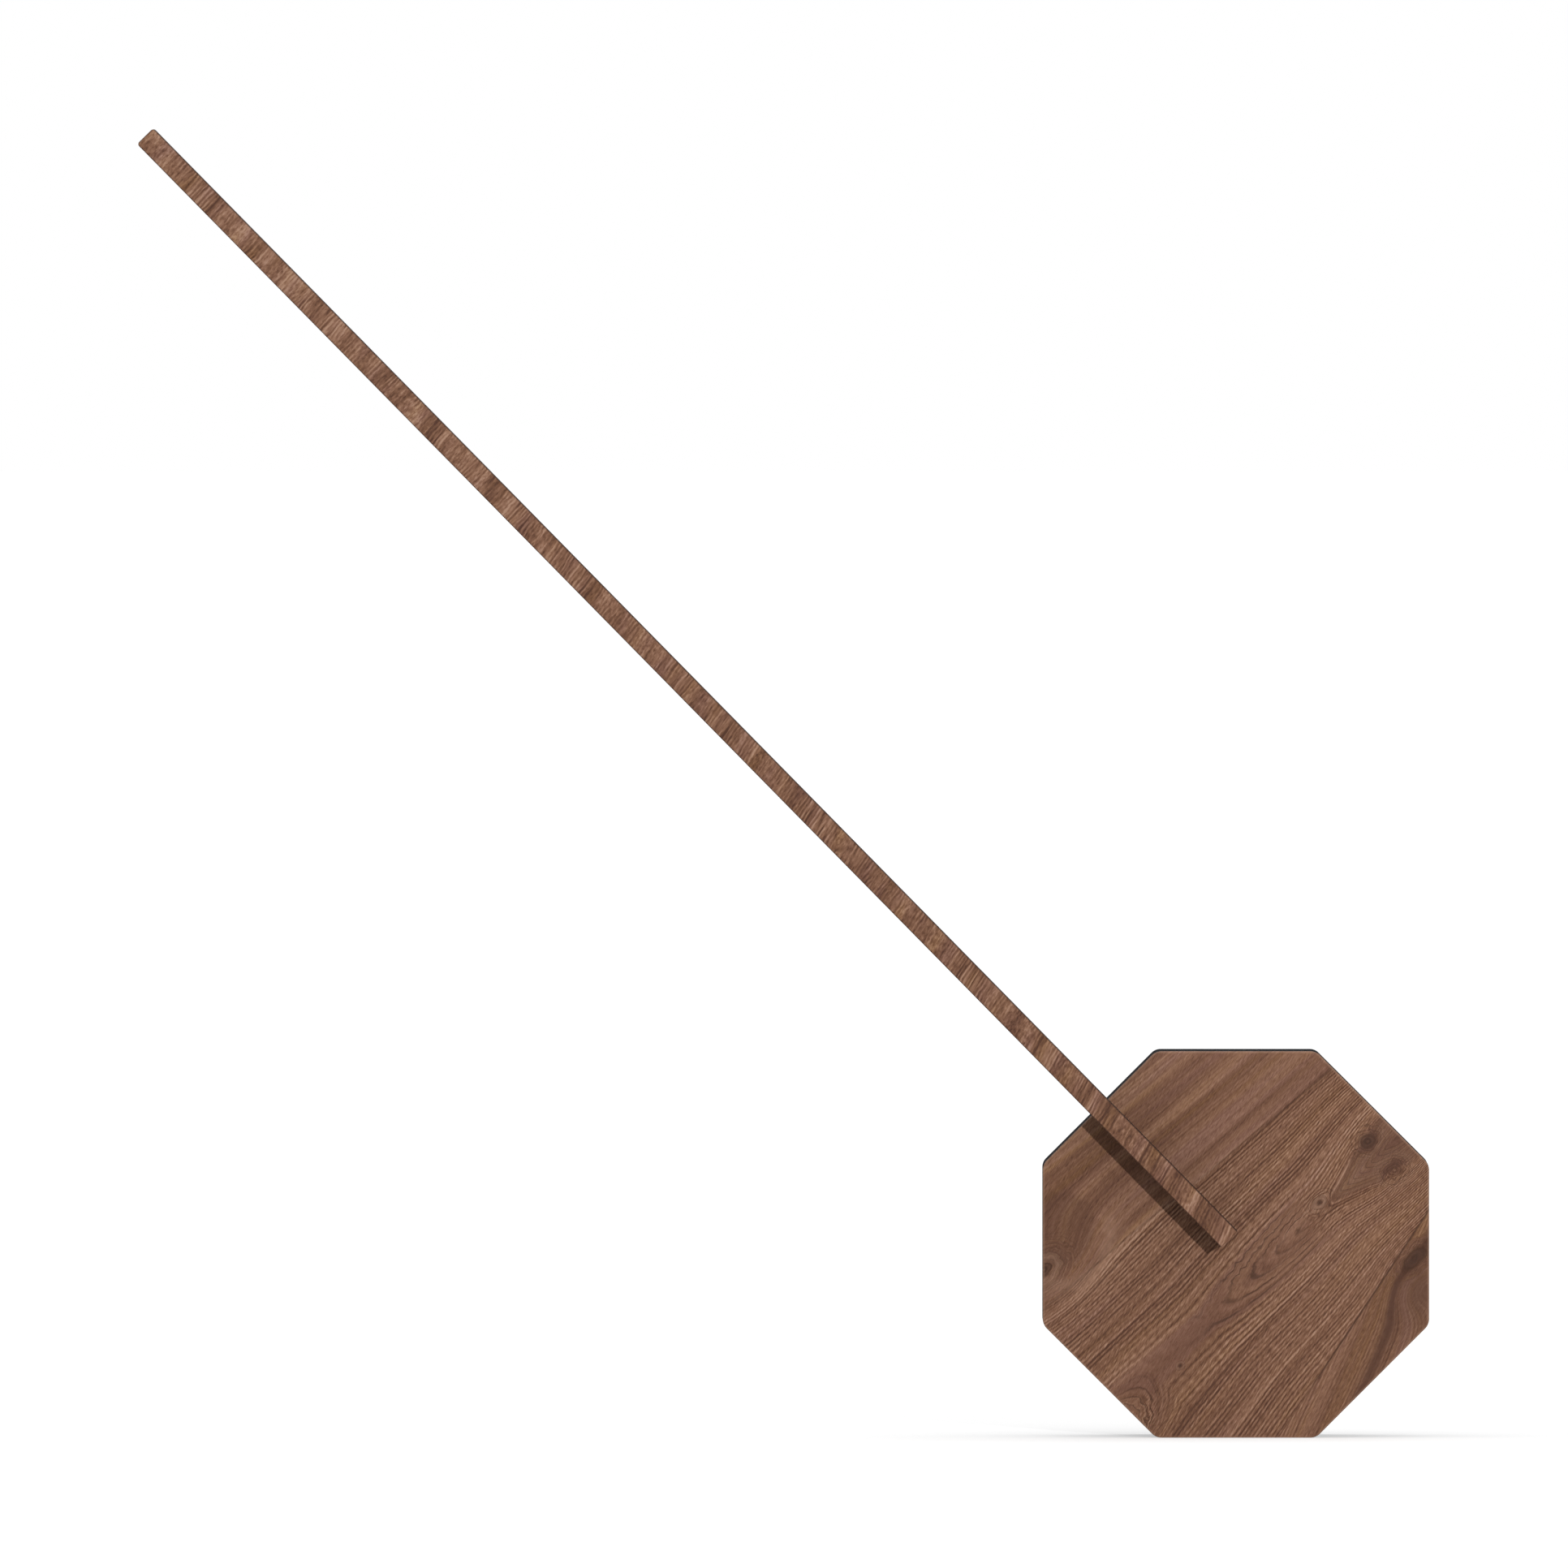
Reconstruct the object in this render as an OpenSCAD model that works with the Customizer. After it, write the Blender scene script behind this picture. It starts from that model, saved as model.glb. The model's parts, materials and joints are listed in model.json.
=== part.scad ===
// Rechargeable desk lamp: an octagonal base with a walnut front panel carries
// one slim swing arm, faced in walnut, with a light strip along its underside.
// Millimetres. +Z is up and the front panel looks along -Y.
// The origin is the middle of the facet that the base stands on.

/* [Base] */
// Width of the octagonal base across its flats
base_across = 120; // [116:1:150]
// Depth of the base, from the front panel to the back cover
base_depth = 44; // [44:1:60]
// Rounding of the base's eight corners
corner_r = 4; // [2:0.5:8]
// Thickness of the walnut front panel
panel_t = 6; // [6:0.5:8]
// Side wall of the shell
shell_wall = 3; // [2.4:0.2:3.4]
// Web of the shell, behind the front panel
web_t = 2.5; // [2:0.25:3]
// Thickness of the back cover
cover_t = 4; // [3.5:0.25:5]

/* [Arm] */
// Length of the arm from tail to tip
arm_length = 480; // [420:5:560]
// Width of the arm, as seen from the front
arm_width = 7; // [7:0.25:10]
// Depth of the walnut strip on the arm
strip_t = 5; // [3:0.5:8]
// Depth of the metal channel behind the strip
channel_depth = 15; // [14:0.5:20]
// Wall of the metal channel
channel_wall = 1; // [0.8:0.1:1.2]
// Rounding of the corners at the arm's tip
tip_r = 1; // [0.5:0.25:2]
// Arm's length behind the pivot
arm_tail = 14; // [13:0.5:20]
// Angle of the arm above level, at rest
arm_angle = 45.5; // [40:0.5:50]
// Running gap between the arm and the front panel
arm_gap = 0.4; // [0.3:0.1:1]
// Swing below the rest angle, in degrees
swing_down = 45; // [10:1:45]
// Swing above the rest angle, in degrees
swing_up = 45; // [10:1:90]

/* [Light] */
// Length of the light strip
light_length = 300; // [200:10:360]
// Dark end between the light strip and the arm's tip
light_margin = 12; // [10:1:30]
// Distance between the emitters
led_pitch = 10; // [6:1:20]
// Side of one emitter
led_side = 3; // [2:0.25:3.5]
// Height of one emitter
led_h = 0.7; // [0.5:0.1:0.9]
// Thickness of the light strip's board
strip_board_t = 1; // [0.8:0.1:1.2]
// Thickness of the opal diffuser
diffuser_t = 1.3; // [1:0.1:1.6]

/* [Pivot] */
// Distance of the pivot from the base's centre, towards the upper left facet
pivot_offset = 17; // [16:0.5:20]
// Diameter of the hollow pivot shaft
shaft_d = 5; // [4.5:0.25:5.25]
// Diameter of the shaft's cable hole
shaft_bore = 3; // [2.5:0.1:3.2]
// How deep the shaft is pressed into the arm's foot
shaft_seat = 7.6; // [6:0.2:8]
// Diameter of the bush's nose, which passes through the panel
nose_d = 6.8; // [6.6:0.1:7]
// Diameter of the bush's flange
flange_d = 24; // [22:0.5:25]
// Thickness of the bush's flange
flange_t = 3; // [2.5:0.25:3.5]
// Diameter of the bush's tail
tail_d = 10; // [9:0.5:11]
// Length of the bush's tail
tail_l = 6; // [5:0.5:7]
// Thickness of the friction washer
friction_t = 1; // [0.8:0.1:1.4]
// Thickness of the stop washer
stop_t = 1.2; // [1:0.1:1.6]
// Reach of the stop washer's tab from the pivot
tab_reach = 16.5; // [16:0.25:18]
// Width of the stop washer's tab
tab_w = 5; // [4:0.5:6]
// Diameter of the stop pins
pin_d = 3; // [2.5:0.25:3.5]
// Height of the disc spring, as fitted
spring_h = 1.2; // [1:0.1:1.5]
// Width of the lock nut across its flats
nut_across = 8; // [8:0.25:9]
// Height of the lock nut
nut_h = 5; // [4:0.25:5]
// Length of the arm's foot in front of the pivot
foot_reach = 18; // [16:0.5:24]

/* [Power] */
// Length of the battery pack
pack_l = 62; // [50:1:64]
// Height of the battery pack
pack_h = 36; // [30:1:37]
// Thickness of the battery pack
pack_t = 10; // [8:0.5:11]
// Thickness of the foam pad under the pack
foam_t = 1; // [0.5:0.25:1.5]
// Height of the pack's protection board
guard_h = 3.5; // [3:0.25:4]
// Thickness of the bar that clamps the pack
clamp_t = 1.8; // [1.5:0.1:2.5]
// Width of the bar that clamps the pack
clamp_w = 9; // [8:0.5:12]
// Height of the low counterweight
low_weight_h = 11; // [8:0.5:12]
// Width of the side counterweight
side_weight_w = 16; // [10:0.5:17]
// Room behind the counterweights, for their screw heads
weight_gap = 3.5; // [2.5:0.25:8]
// Width of the circuit board
board_w = 56; // [52:1:60]
// Thickness of the circuit board
board_t = 1.6; // [1.2:0.1:2]
// Gap between the circuit board's front edge and the shell's web
board_front_gap = 5; // [4:0.5:8]
// Free height above the circuit board's underside
board_headroom = 21.8; // [20:0.2:23]

/* [Controls] */
// Diameter of the push button
button_d = 12; // [10:0.5:14]
// How far the button stands out of the back cover
button_proud = 1.2; // [1.1:0.1:2]
// Travel of the push button
button_travel = 1; // [0.5:0.1:1]
// Distance of the button from the base's upright middle line
button_x = 14; // [12:0.5:16]
// Distance of the charging socket from the base's upright middle line
socket_x = 14; // [12:0.5:16]
// Width of the charging socket
socket_w = 8.94; // [8.9:0.02:9]
// Height of the charging socket
socket_h = 3.26; // [3.2:0.02:3.3]
// Length of the charging socket
socket_l = 7.4; // [7:0.1:8]
// Width of the recess for the charging plug
recess_w = 13; // [12.5:0.25:15]
// Height of the recess for the charging plug
recess_h = 7.5; // [7:0.25:8]
// Diameter of the indicator's light pipe
pipe_d = 3; // [2:0.25:4]

/* [Fasteners] */
// Thread diameter of the main screws
screw_d = 3; // [2.5:0.25:3.25]
// Thread diameter of the small screws
small_screw_d = 2; // [1.8:0.1:2.2]
// Diameter of the shell's screw bosses
boss_d = 8; // [7:0.5:9]
// Diameter of the threaded inserts
insert_d = 4.4; // [4.2:0.1:5]
// Length of the threaded inserts
insert_l = 4.5; // [4:0.25:4.5]

/* [Clearances] */
// Gap between pieces that are fitted by hand
fit = 0.3; // [0.2:0.05:0.4]
// Gap around the shaft, on its radius
running = 0.03; // [0.02:0.01:0.05]
// Gap around a pressed or glued piece
seat = 0.02; // [0.01:0.01:0.03]

/* [Hidden] */
$fn = 64;
SIDES = 8;
HALF_TURN = 360 / SIDES / 2;
CORNER_STEPS = 6;
// How far a cutting shape runs past the face that it opens
cut = 1;
// How far a boss sinks into the wall that carries it
root = 0.6;
centre_z = base_across / 2;
inner_across = base_across - 2 * shell_wall;
inner_corner_r = max(corner_r - shell_wall, 0.5);

// Depths in the base, from its middle towards the front
z_front = base_depth / 2;
z_web = z_front - panel_t;
z_inside = z_web - web_t;
z_back = -base_depth / 2;
z_cover = z_back + cover_t;

// Pivot, with the bush and the stack of washers behind it
pivot_direction = 135;
pivot = pivot_offset * [cos(pivot_direction), sin(pivot_direction)];
z_flange = z_inside - flange_t;
z_tail = z_flange - tail_l;
z_friction = z_tail - friction_t;
z_stop = z_friction - stop_t;
z_spring = z_stop - spring_h;
z_nut = z_spring - nut_h;
shaft_flat = 0.4;
shaft_end_gap = 1.1;
z_shaft_end = z_nut - shaft_end_gap;
stop_washer_d = 11;
spring_d = 10;
spring_plate = 0.5;
flange_screw_r = (flange_d + tail_d) / 4;
flange_screws = 3;
flange_screw_depth = 3;
// Stop pins stand where the tab meets them at the two ends of the swing
pin_r = tab_reach - pin_d / 2;
pin_sink = 1.8;
stop_margin = asin((tab_w / 2) / pin_r) + asin((pin_d / 2 + fit) / pin_r);
tab_angle = 180 - arm_angle;
pin_angles = [tab_angle - swing_up - stop_margin, tab_angle + swing_down + stop_margin];

// Arm, in its own frame: x runs from the pivot to the tip, +y is the lit side
arm_reach = arm_length - arm_tail;
z_arm = z_front + arm_gap;
z_cavity = z_arm + channel_wall;
z_strip = z_arm + channel_depth;
cavity_depth = channel_depth - 2 * channel_wall;
cavity_top = -arm_width / 2 + channel_wall;
cavity_h = arm_width - channel_wall;
cap_lip = 0.2;
cap_t = 2 * tip_r + cap_lip;
light_end = arm_reach - light_margin;
light_start = light_end - light_length;
light_end_gap = 0.1;
cap_plug_l = light_margin - cap_t - light_end_gap;
led_inset = 10;
led_count = floor((light_length - 2 * led_inset) / led_pitch) + 1;
strip_board_gap = 1;
strip_board_w = cavity_depth - 2 * strip_board_gap;
lead_d = 1.8;
lead_bore = 3.2;
lead_bend_r = 2.5;
z_shaft_top = z_cavity + shaft_seat;
lead_bore_gap = 0.2;
z_lead = z_shaft_top + lead_bore / 2 + lead_bore_gap;
lead_overlap = 6;
foot_screw_x = [-(arm_tail + shaft_d / 2) / 2, (foot_reach + shaft_d / 2) / 2];
foot_screw_l = 7;
foot_screw_head_h = 0.9;

// Board, with the controls on its rear edge
board_y = inner_across / 2 - board_headroom;
board_top = board_y + board_t;
board_rear_gap = 0.5;
z_board_rear = z_cover + board_rear_gap;
z_board_front = z_inside - board_front_gap;
board_depth = z_board_front - z_board_rear;
socket_y = board_top + socket_h / 2;
socket_wall = 0.3;
socket_floor = 1;
recess_floor = 0.8;
switch_h = 7;
switch_w = 6;
switch_depth = 3.6;
plunger_d = 3.4;
plunger_out = 1.5;
button_y = board_top + switch_h / 2;
button_lip = 1.5;
button_lip_gap = 0.1;
button_flange_d = button_d + 2 * button_lip;
button_flange_t = 1.3;
z_button_flange = z_cover + button_lip_gap + button_flange_t;
nub_l = 2;
nub_inset = 0.2;
plunger_gap = 0.05;
z_plunger_tip = z_button_flange + nub_l + plunger_gap;
z_switch = z_plunger_tip + plunger_out;
pipe_lip = 1;
pipe_y = board_top + pipe_d / 2 + pipe_lip;
pipe_flange_d = pipe_d + 2 * pipe_lip;
pipe_flange_t = 1;
pipe_inside = 2.4;
z_pipe_end = z_cover + pipe_inside;
rib_w = 5;
rib_h = 4;
rib_inset = 1.5;
rib_x = board_w / 2 - rib_w / 2 - rib_inset;
rib_rear_gap = 3;
z_rib_end = z_board_rear + rib_rear_gap;
front_screw_inset = 4;
rear_screw_inset = 6;
z_board_screws = [z_board_front - front_screw_inset, z_board_rear + rear_screw_inset];
board_screw_l = 4.6;
plug_block = [7, 5, 6];
lamp_lead_bend_r = 3;
lead_meeting = 0.2;
plug_inset = 2.3;
z_lamp_plug = z_board_rear + plug_inset + plug_block[2] / 2;
z_lead_end = z_lamp_plug + lamp_lead_bend_r + lead_meeting;

// Counterweights and battery pack
low_weight_y = -inner_across / 2 + fit;
weight_corner_gap = 1.2;
low_weight_bottom = (inner_across / 2) * tan(HALF_TURN) - weight_corner_gap;
low_weight_top = low_weight_bottom + low_weight_h - fit;
weight_standoff = 3;
z_weight = z_inside - weight_standoff;
weight_depth = z_weight - z_cover - weight_gap;
side_weight_x = inner_across / 2 - fit - side_weight_w;
corner_boss_r = (inner_across / 2 - boss_d / 2 + root) / cos(HALF_TURN);
corner_boss = corner_boss_r * [cos(HALF_TURN), sin(HALF_TURN)];
weight_boss_gap = 0.7;
side_weight_half = corner_boss[1] - boss_d / 2 - weight_boss_gap;
low_screw_inset = 8;
low_screw_x = low_weight_bottom - low_screw_inset;
side_screw_inset = 7;
side_screw_y = side_weight_half - side_screw_inset;
standoff_d = 7;
pack_gap = 2.5;
pack_y = low_weight_y + low_weight_h + pack_gap;
pack_x = -pack_l / 2;
z_foam = z_inside - foam_t;
z_pack = z_foam - pack_t;
guard_l = 40;
guard_t = 5;
post_d = 7;
post_gap = 1;
post_x = pack_l / 2 + post_d / 2 + post_gap;
post_y = pack_y + pack_h / 2;
battery_lead_x = 12;
battery_lead_d = 2.2;
guard_inset = 0.5;
z_guard = z_pack + guard_inset;
z_battery_plug = z_guard + guard_t / 2;

// Screws
pilot = 0.1;
head_ratio = 1.8;
head_h_ratio = 0.6;
main_head_d = head_ratio * screw_d;
small_head_d = head_ratio * small_screw_d;
panel_screw_inset = 8;
panel_screw_r = base_across / 2 - panel_screw_inset;
panel_screws = [for (x = [-1, 1], y = [-1, 1])
    panel_screw_r * [x * sin(HALF_TURN), y * cos(HALF_TURN)]];
cover_screws = [for (x = [-1, 1], y = [-1, 1]) [x * corner_boss[0], y * corner_boss[1]]];
cover_screw_l = 12;
cover_head_h = 1.7;

WALNUT = "#6f4f3d";
BLACK = "#1b1b1c";
STEEL = "#a9adb1";
BRASS = "#b08d4a";
NYLON = "#d9d4c6";
GREEN = "#1f5a3a";

// Frames

// Base frame: x to the right, y up from the octagon's centre, z towards the front
module base_frame() {
    translate([0, 0, centre_z]) rotate([90, 0, 0]) children();
}

// Pivot frame: as the base frame, centred on the arm's pivot
module pivot_frame() {
    base_frame() translate(pivot) children();
}

// Arm frame: x along the arm from the pivot to the tip, +y towards the lit side
module arm_frame() {
    pivot_frame() rotate([0, 0, 180 - arm_angle]) children();
}

// Shared shapes

// Corner points of an octagon with rounded corners, standing on a flat
function octagon_points(across, r) =
    let (corner = (across / 2 - r) / cos(HALF_TURN))
    [for (i = [0 : SIDES - 1], j = [0 : CORNER_STEPS])
        let (a = (2 * i + 1) * HALF_TURN, b = a + (j / CORNER_STEPS - 0.5) * 2 * HALF_TURN)
        corner * [cos(a), sin(a)] + r / cos(HALF_TURN / CORNER_STEPS) * [cos(b), sin(b)]
            * (j == 0 || j == CORNER_STEPS ? cos(HALF_TURN / CORNER_STEPS) : 1)];

module octagon(across, r, z, h) {
    translate([0, 0, z]) linear_extrude(h) polygon(octagon_points(across, r));
}

module rod(d, z, h) {
    translate([0, 0, z]) cylinder(d = d, h = h);
}

module block(x, y, z, size) {
    translate([x, y, z]) cube(size);
}

// Cross recess in a screw head, cut from z downwards
module cross_recess(d, z) {
    arm = 0.5 * d;
    slot = 0.14 * d;
    deep = 0.3 * d;
    translate([-arm / 2, -slot / 2, z - deep]) cube([arm, slot, deep + cut]);
    translate([-slot / 2, -arm / 2, z - deep]) cube([slot, arm, deep + cut]);
}

// Pan head screw whose head sits on z = 0, with its thread pointing to +z
module pan_screw(d, l) {
    rotate([180, 0, 0]) difference() {
        union() {
            rod(head_ratio * d, 0, head_h_ratio * d);
            rod(d, -l, l + head_h_ratio * d / 2);
        }
        cross_recess(head_ratio * d, head_h_ratio * d);
    }
}

// Countersunk screw whose head is flush with z = 0, with its thread pointing to +z
module flat_screw(d, l, head_d, head_h) {
    rotate([180, 0, 0]) difference() {
        union() {
            translate([0, 0, -head_h]) cylinder(d1 = d, d2 = head_d, h = head_h);
            rod(d, -l, l - head_h);
        }
        cross_recess(0.8 * head_d, 0);
    }
}

// Base: panel, shell and cover

module front_panel() {
    color(WALNUT) base_frame() difference() {
        octagon(base_across, corner_r, z_web, panel_t);
        translate(pivot) rod(nose_d + 2 * seat, z_web - cut, panel_t + 2 * cut);
        for (p = panel_screws) translate(p) rod(insert_d, z_web - cut, insert_l + cut);
        translate(pivot) flange_places() rod(small_screw_d + pilot, z_web - cut, flange_screw_depth + cut);
    }
}

module panel_inserts() {
    color(BRASS) base_frame() for (p = panel_screws) translate(p) difference() {
        rod(insert_d - 2 * seat, z_web, insert_l - seat);
        rod(screw_d + pilot, z_web - cut, insert_l + 2 * cut);
    }
}

module panel_screws() {
    color(STEEL) base_frame() for (p = panel_screws)
        translate([p[0], p[1], z_inside]) pan_screw(screw_d, web_t + insert_l - 2 * seat);
}

// Rib that carries one side of the circuit board
module board_rib(x) {
    block(x - rib_w / 2, board_y - rib_h, z_rib_end, [rib_w, rib_h, z_inside - z_rib_end + root]);
}

// Places of the screws that hold the two counterweights
module weight_places() {
    for (x = [-1, 1]) translate([x * low_screw_x, low_weight_y + low_weight_h / 2]) children();
    for (y = [-1, 1]) translate([side_weight_x + side_weight_w / 2, y * side_screw_y]) children();
}

// Places of the screws that hold the battery clamp
module post_places() {
    for (x = [-1, 1]) translate([x * post_x, post_y]) children();
}

// Places of the screws in the bush's flange, from the pivot
module flange_places() {
    for (i = [0 : flange_screws - 1])
        rotate(90 + i * 360 / flange_screws) translate([flange_screw_r, 0]) children();
}

module pin_places() {
    for (a = pin_angles) rotate(a) translate([pin_r, 0]) children();
}

// Places of the screws that hold the circuit board, seen from above it
module board_screw_places() {
    for (x = [-1, 1], z = z_board_screws) translate([x * rib_x, board_top, z]) rotate([90, 0, 0]) children();
}

module shell() {
    color(BLACK) base_frame() difference() {
        union() {
            difference() {
                octagon(base_across, corner_r, z_cover, z_web - z_cover);
                octagon(inner_across, inner_corner_r, z_cover - cut, z_inside - z_cover + cut);
            }
            for (p = cover_screws) translate(p) rod(boss_d, z_cover, z_inside - z_cover + root);
            for (x = [-1, 1]) board_rib(x * rib_x);
            weight_places() rod(standoff_d, z_weight, weight_standoff + root);
            post_places() rod(post_d, z_pack, z_inside - z_pack + root);
        }
        for (p = cover_screws) translate(p) rod(screw_d + pilot, z_cover - cut, cover_screw_l + cut);
        for (p = panel_screws) translate(p) rod(screw_d + 2 * fit, z_inside - cut, web_t + 2 * cut);
        weight_places() rod(screw_d + pilot, z_weight - cut, weight_standoff + web_t + cut);
        post_places() rod(screw_d + pilot, z_pack - cut, z_web - z_pack);
        board_screw_places() rod(small_screw_d + pilot, -cut, board_t + rib_h + 2 * cut);
        translate(pivot) {
            rod(nose_d + 2 * fit, z_inside - cut, web_t + 2 * cut);
            flange_places() rod(small_screw_d + pilot, z_inside - cut, web_t + 2 * cut);
            pin_places() rod(pin_d + 2 * seat, z_inside - cut, pin_sink + cut);
        }
    }
}

module back_cover() {
    color(BLACK) base_frame() difference() {
        octagon(base_across, corner_r, z_back, cover_t);
        for (p = cover_screws) translate(p) {
            rod(screw_d + 2 * fit, z_back - cut, cover_t + 2 * cut);
            translate([0, 0, z_back]) cylinder(d1 = main_head_d + fit, d2 = screw_d, h = cover_head_h);
        }
        block(-socket_x - recess_w / 2, socket_y - recess_h / 2, z_back - cut,
            [recess_w, recess_h, cover_t - recess_floor + cut]);
        translate([-socket_x, socket_y, z_back]) slot_prism(socket_w + fit, socket_h + fit, cover_t + cut);
        translate([button_x, button_y]) rod(button_d + 2 * fit, z_back - cut, cover_t + 2 * cut);
        translate([0, pipe_y]) rod(pipe_d + 2 * seat, z_back - cut, cover_t + 2 * cut);
    }
}

module cover_screws() {
    color(BLACK) base_frame() for (p = cover_screws)
        translate([p[0], p[1], z_back]) flat_screw(screw_d, cover_screw_l, main_head_d, cover_head_h);
}

// Pivot: the fixed pieces

module pivot_bush() {
    color(BRASS) pivot_frame() difference() {
        union() {
            rod(nose_d, z_inside - root, z_arm - z_inside + root);
            rod(flange_d, z_flange, flange_t);
            rod(tail_d, z_tail, tail_l + root);
        }
        rod(shaft_d + 2 * running, z_tail - cut, z_arm - z_tail + 2 * cut);
        flange_places() rod(small_screw_d + 2 * fit, z_flange - cut, flange_t + 2 * cut);
    }
}

module bush_screws() {
    color(STEEL) pivot_frame() flange_places()
        translate([0, 0, z_flange]) pan_screw(small_screw_d, flange_t + web_t + flange_screw_depth - fit);
}

module friction_washer() {
    color(NYLON) pivot_frame() difference() {
        rod(tail_d, z_friction, friction_t);
        rod(shaft_d + 2 * fit, z_friction - cut, friction_t + 2 * cut);
    }
}

module stop_pins() {
    color(STEEL) pivot_frame() pin_places() rod(pin_d, z_stop - fit, z_inside - z_stop + fit + pin_sink);
}

// Counterweights

module low_counterweight() {
    color(STEEL) base_frame() difference() {
        translate([0, low_weight_y, z_weight - weight_depth]) linear_extrude(weight_depth) polygon([
            [-low_weight_bottom, 0], [low_weight_bottom, 0],
            [low_weight_top, low_weight_h], [-low_weight_top, low_weight_h]]);
        weight_places() rod(screw_d + 2 * fit, z_weight - weight_depth - cut, weight_depth + 2 * cut);
    }
}

module side_counterweight() {
    color(STEEL) base_frame() difference() {
        block(side_weight_x, -side_weight_half, z_weight - weight_depth,
            [side_weight_w, 2 * side_weight_half, weight_depth]);
        weight_places() rod(screw_d + 2 * fit, z_weight - weight_depth - cut, weight_depth + 2 * cut);
    }
}

module counterweight_screws() {
    length = weight_depth + weight_standoff + web_t - fit;
    color(STEEL) base_frame() weight_places()
        translate([0, 0, z_weight - weight_depth]) pan_screw(screw_d, length);
}

// Battery

module battery_pack() {
    color("#3b6f9e") base_frame() block(pack_x, pack_y, z_pack, [pack_l, pack_h, pack_t]);
}

module battery_guard_board() {
    color(GREEN) base_frame() block(-guard_l / 2, pack_y + pack_h, z_guard, [guard_l, guard_h, guard_t]);
}

module battery_foam_pad() {
    inset = 4;
    color("#444444") base_frame() block(pack_x + inset, pack_y + inset, z_foam,
        [pack_l - 2 * inset, pack_h - 2 * inset, foam_t]);
}

module battery_clamp() {
    color(BLACK) base_frame() difference() {
        union() {
            block(-post_x, post_y - clamp_w / 2, z_pack - clamp_t, [2 * post_x, clamp_w, clamp_t]);
            post_places() rod(clamp_w, z_pack - clamp_t, clamp_t);
        }
        post_places() rod(screw_d + 2 * fit, z_pack - clamp_t - cut, clamp_t + 2 * cut);
    }
}

module clamp_screws() {
    color(STEEL) base_frame() post_places()
        translate([0, 0, z_pack - clamp_t]) pan_screw(screw_d, clamp_t + pack_t);
}

module battery_lead() {
    bottom = pack_y + pack_h + guard_h;
    color("#8c2020") base_frame() translate([battery_lead_x, bottom, z_battery_plug]) rotate([-90, 0, 0])
        cylinder(d = battery_lead_d, h = board_y - plug_block[1] - bottom);
}

// Circuit board and what it carries

module circuit_board() {
    notch_w = button_flange_d + 2 * fit;
    notch_depth = z_button_flange + button_travel + fit - z_board_rear;
    color(GREEN) base_frame() difference() {
        block(-board_w / 2, board_y, z_board_rear, [board_w, board_t, board_depth]);
        board_screw_places() rod(small_screw_d + 2 * fit, -cut, board_t + 2 * cut);
        block(button_x - notch_w / 2, board_y - cut, z_board_rear - cut,
            [notch_w, board_t + 2 * cut, notch_depth + cut]);
    }
}

module board_screws() {
    color(STEEL) base_frame() board_screw_places() pan_screw(small_screw_d, board_screw_l);
}

// Plug that hangs under the circuit board, centred on x and z
module board_plug(x, z) {
    block(x - plug_block[0] / 2, board_y - plug_block[1], z - plug_block[2] / 2, plug_block);
}

module board_components() {
    inductor = [8, 4, 8];
    inductor_x = -16;
    chip = [6, 1, 6];
    chip_x = -3;
    capacitor_d = 5;
    capacitor_h = 7;
    capacitor_x = 10;
    edge_gap = 3;
    indicator = [2, 0.8, 1.6];
    indicator_gap = 0.5;
    color("#2a2a2c") base_frame() {
        block(inductor_x, board_top, z_board_front - inductor[2] - edge_gap, inductor);
        block(chip_x, board_top, z_board_front - chip[2] - edge_gap, chip);
        translate([capacitor_x, board_top, z_board_front - capacitor_d / 2 - edge_gap]) rotate([-90, 0, 0])
            cylinder(d = capacitor_d, h = capacitor_h);
        block(-indicator[0] / 2, board_top, z_pipe_end + indicator_gap, indicator);
        board_plug(battery_lead_x, z_battery_plug);
        board_plug(pivot[0], z_lamp_plug);
    }
}

// Flat bar with half round ends, along z, standing on z = 0
module slot_prism(w, h, l) {
    translate([-(w - h) / 2, -h / 2, 0]) cube([w - h, h, l]);
    for (x = [-1, 1]) translate([x * (w - h) / 2, 0, 0]) cylinder(d = h, h = l);
}

module charging_socket() {
    mouth = z_cover - recess_floor;
    color(STEEL) base_frame() translate([-socket_x, socket_y, mouth]) difference() {
        slot_prism(socket_w, socket_h, socket_l);
        translate([0, 0, -cut])
            slot_prism(socket_w - 2 * socket_wall, socket_h - 2 * socket_wall, socket_l - socket_floor + cut);
    }
}

module socket_tongue() {
    tongue = [6.6, 0.7, 5.4];
    color(BLACK) base_frame()
        block(-socket_x - tongue[0] / 2, socket_y - tongue[1] / 2,
            z_cover - recess_floor + socket_l - socket_floor - tongue[2], tongue);
}

module switch_body() {
    color("#2a2a2c") base_frame() difference() {
        block(button_x - switch_w / 2, board_top, z_switch, [switch_w, switch_h, switch_depth]);
        translate([button_x, button_y])
            rod(plunger_d + 2 * fit, z_switch - cut, 2 * button_travel + 2 * fit + cut);
    }
}

module indicator_light_pipe() {
    color("#e6ece8") base_frame() translate([0, pipe_y]) {
        rod(pipe_d, z_back, z_pipe_end - z_back);
        rod(pipe_flange_d, z_cover, pipe_flange_t);
    }
}

module lamp_lead() {
    rise = board_y - plug_block[1] - pivot[1] - lamp_lead_bend_r;
    start = z_lead_end - lead_meeting;
    color(BLACK) pivot_frame() {
        translate([0, lamp_lead_bend_r, start]) rotate([0, 90, 0]) rotate([0, 0, -90])
            rotate_extrude(angle = 90) translate([lamp_lead_bend_r, 0]) circle(d = lead_d);
        translate([0, lamp_lead_bend_r, z_lamp_plug]) rotate([-90, 0, 0]) cylinder(d = lead_d, h = rise);
    }
}

// Push button, which travels towards the front

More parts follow.
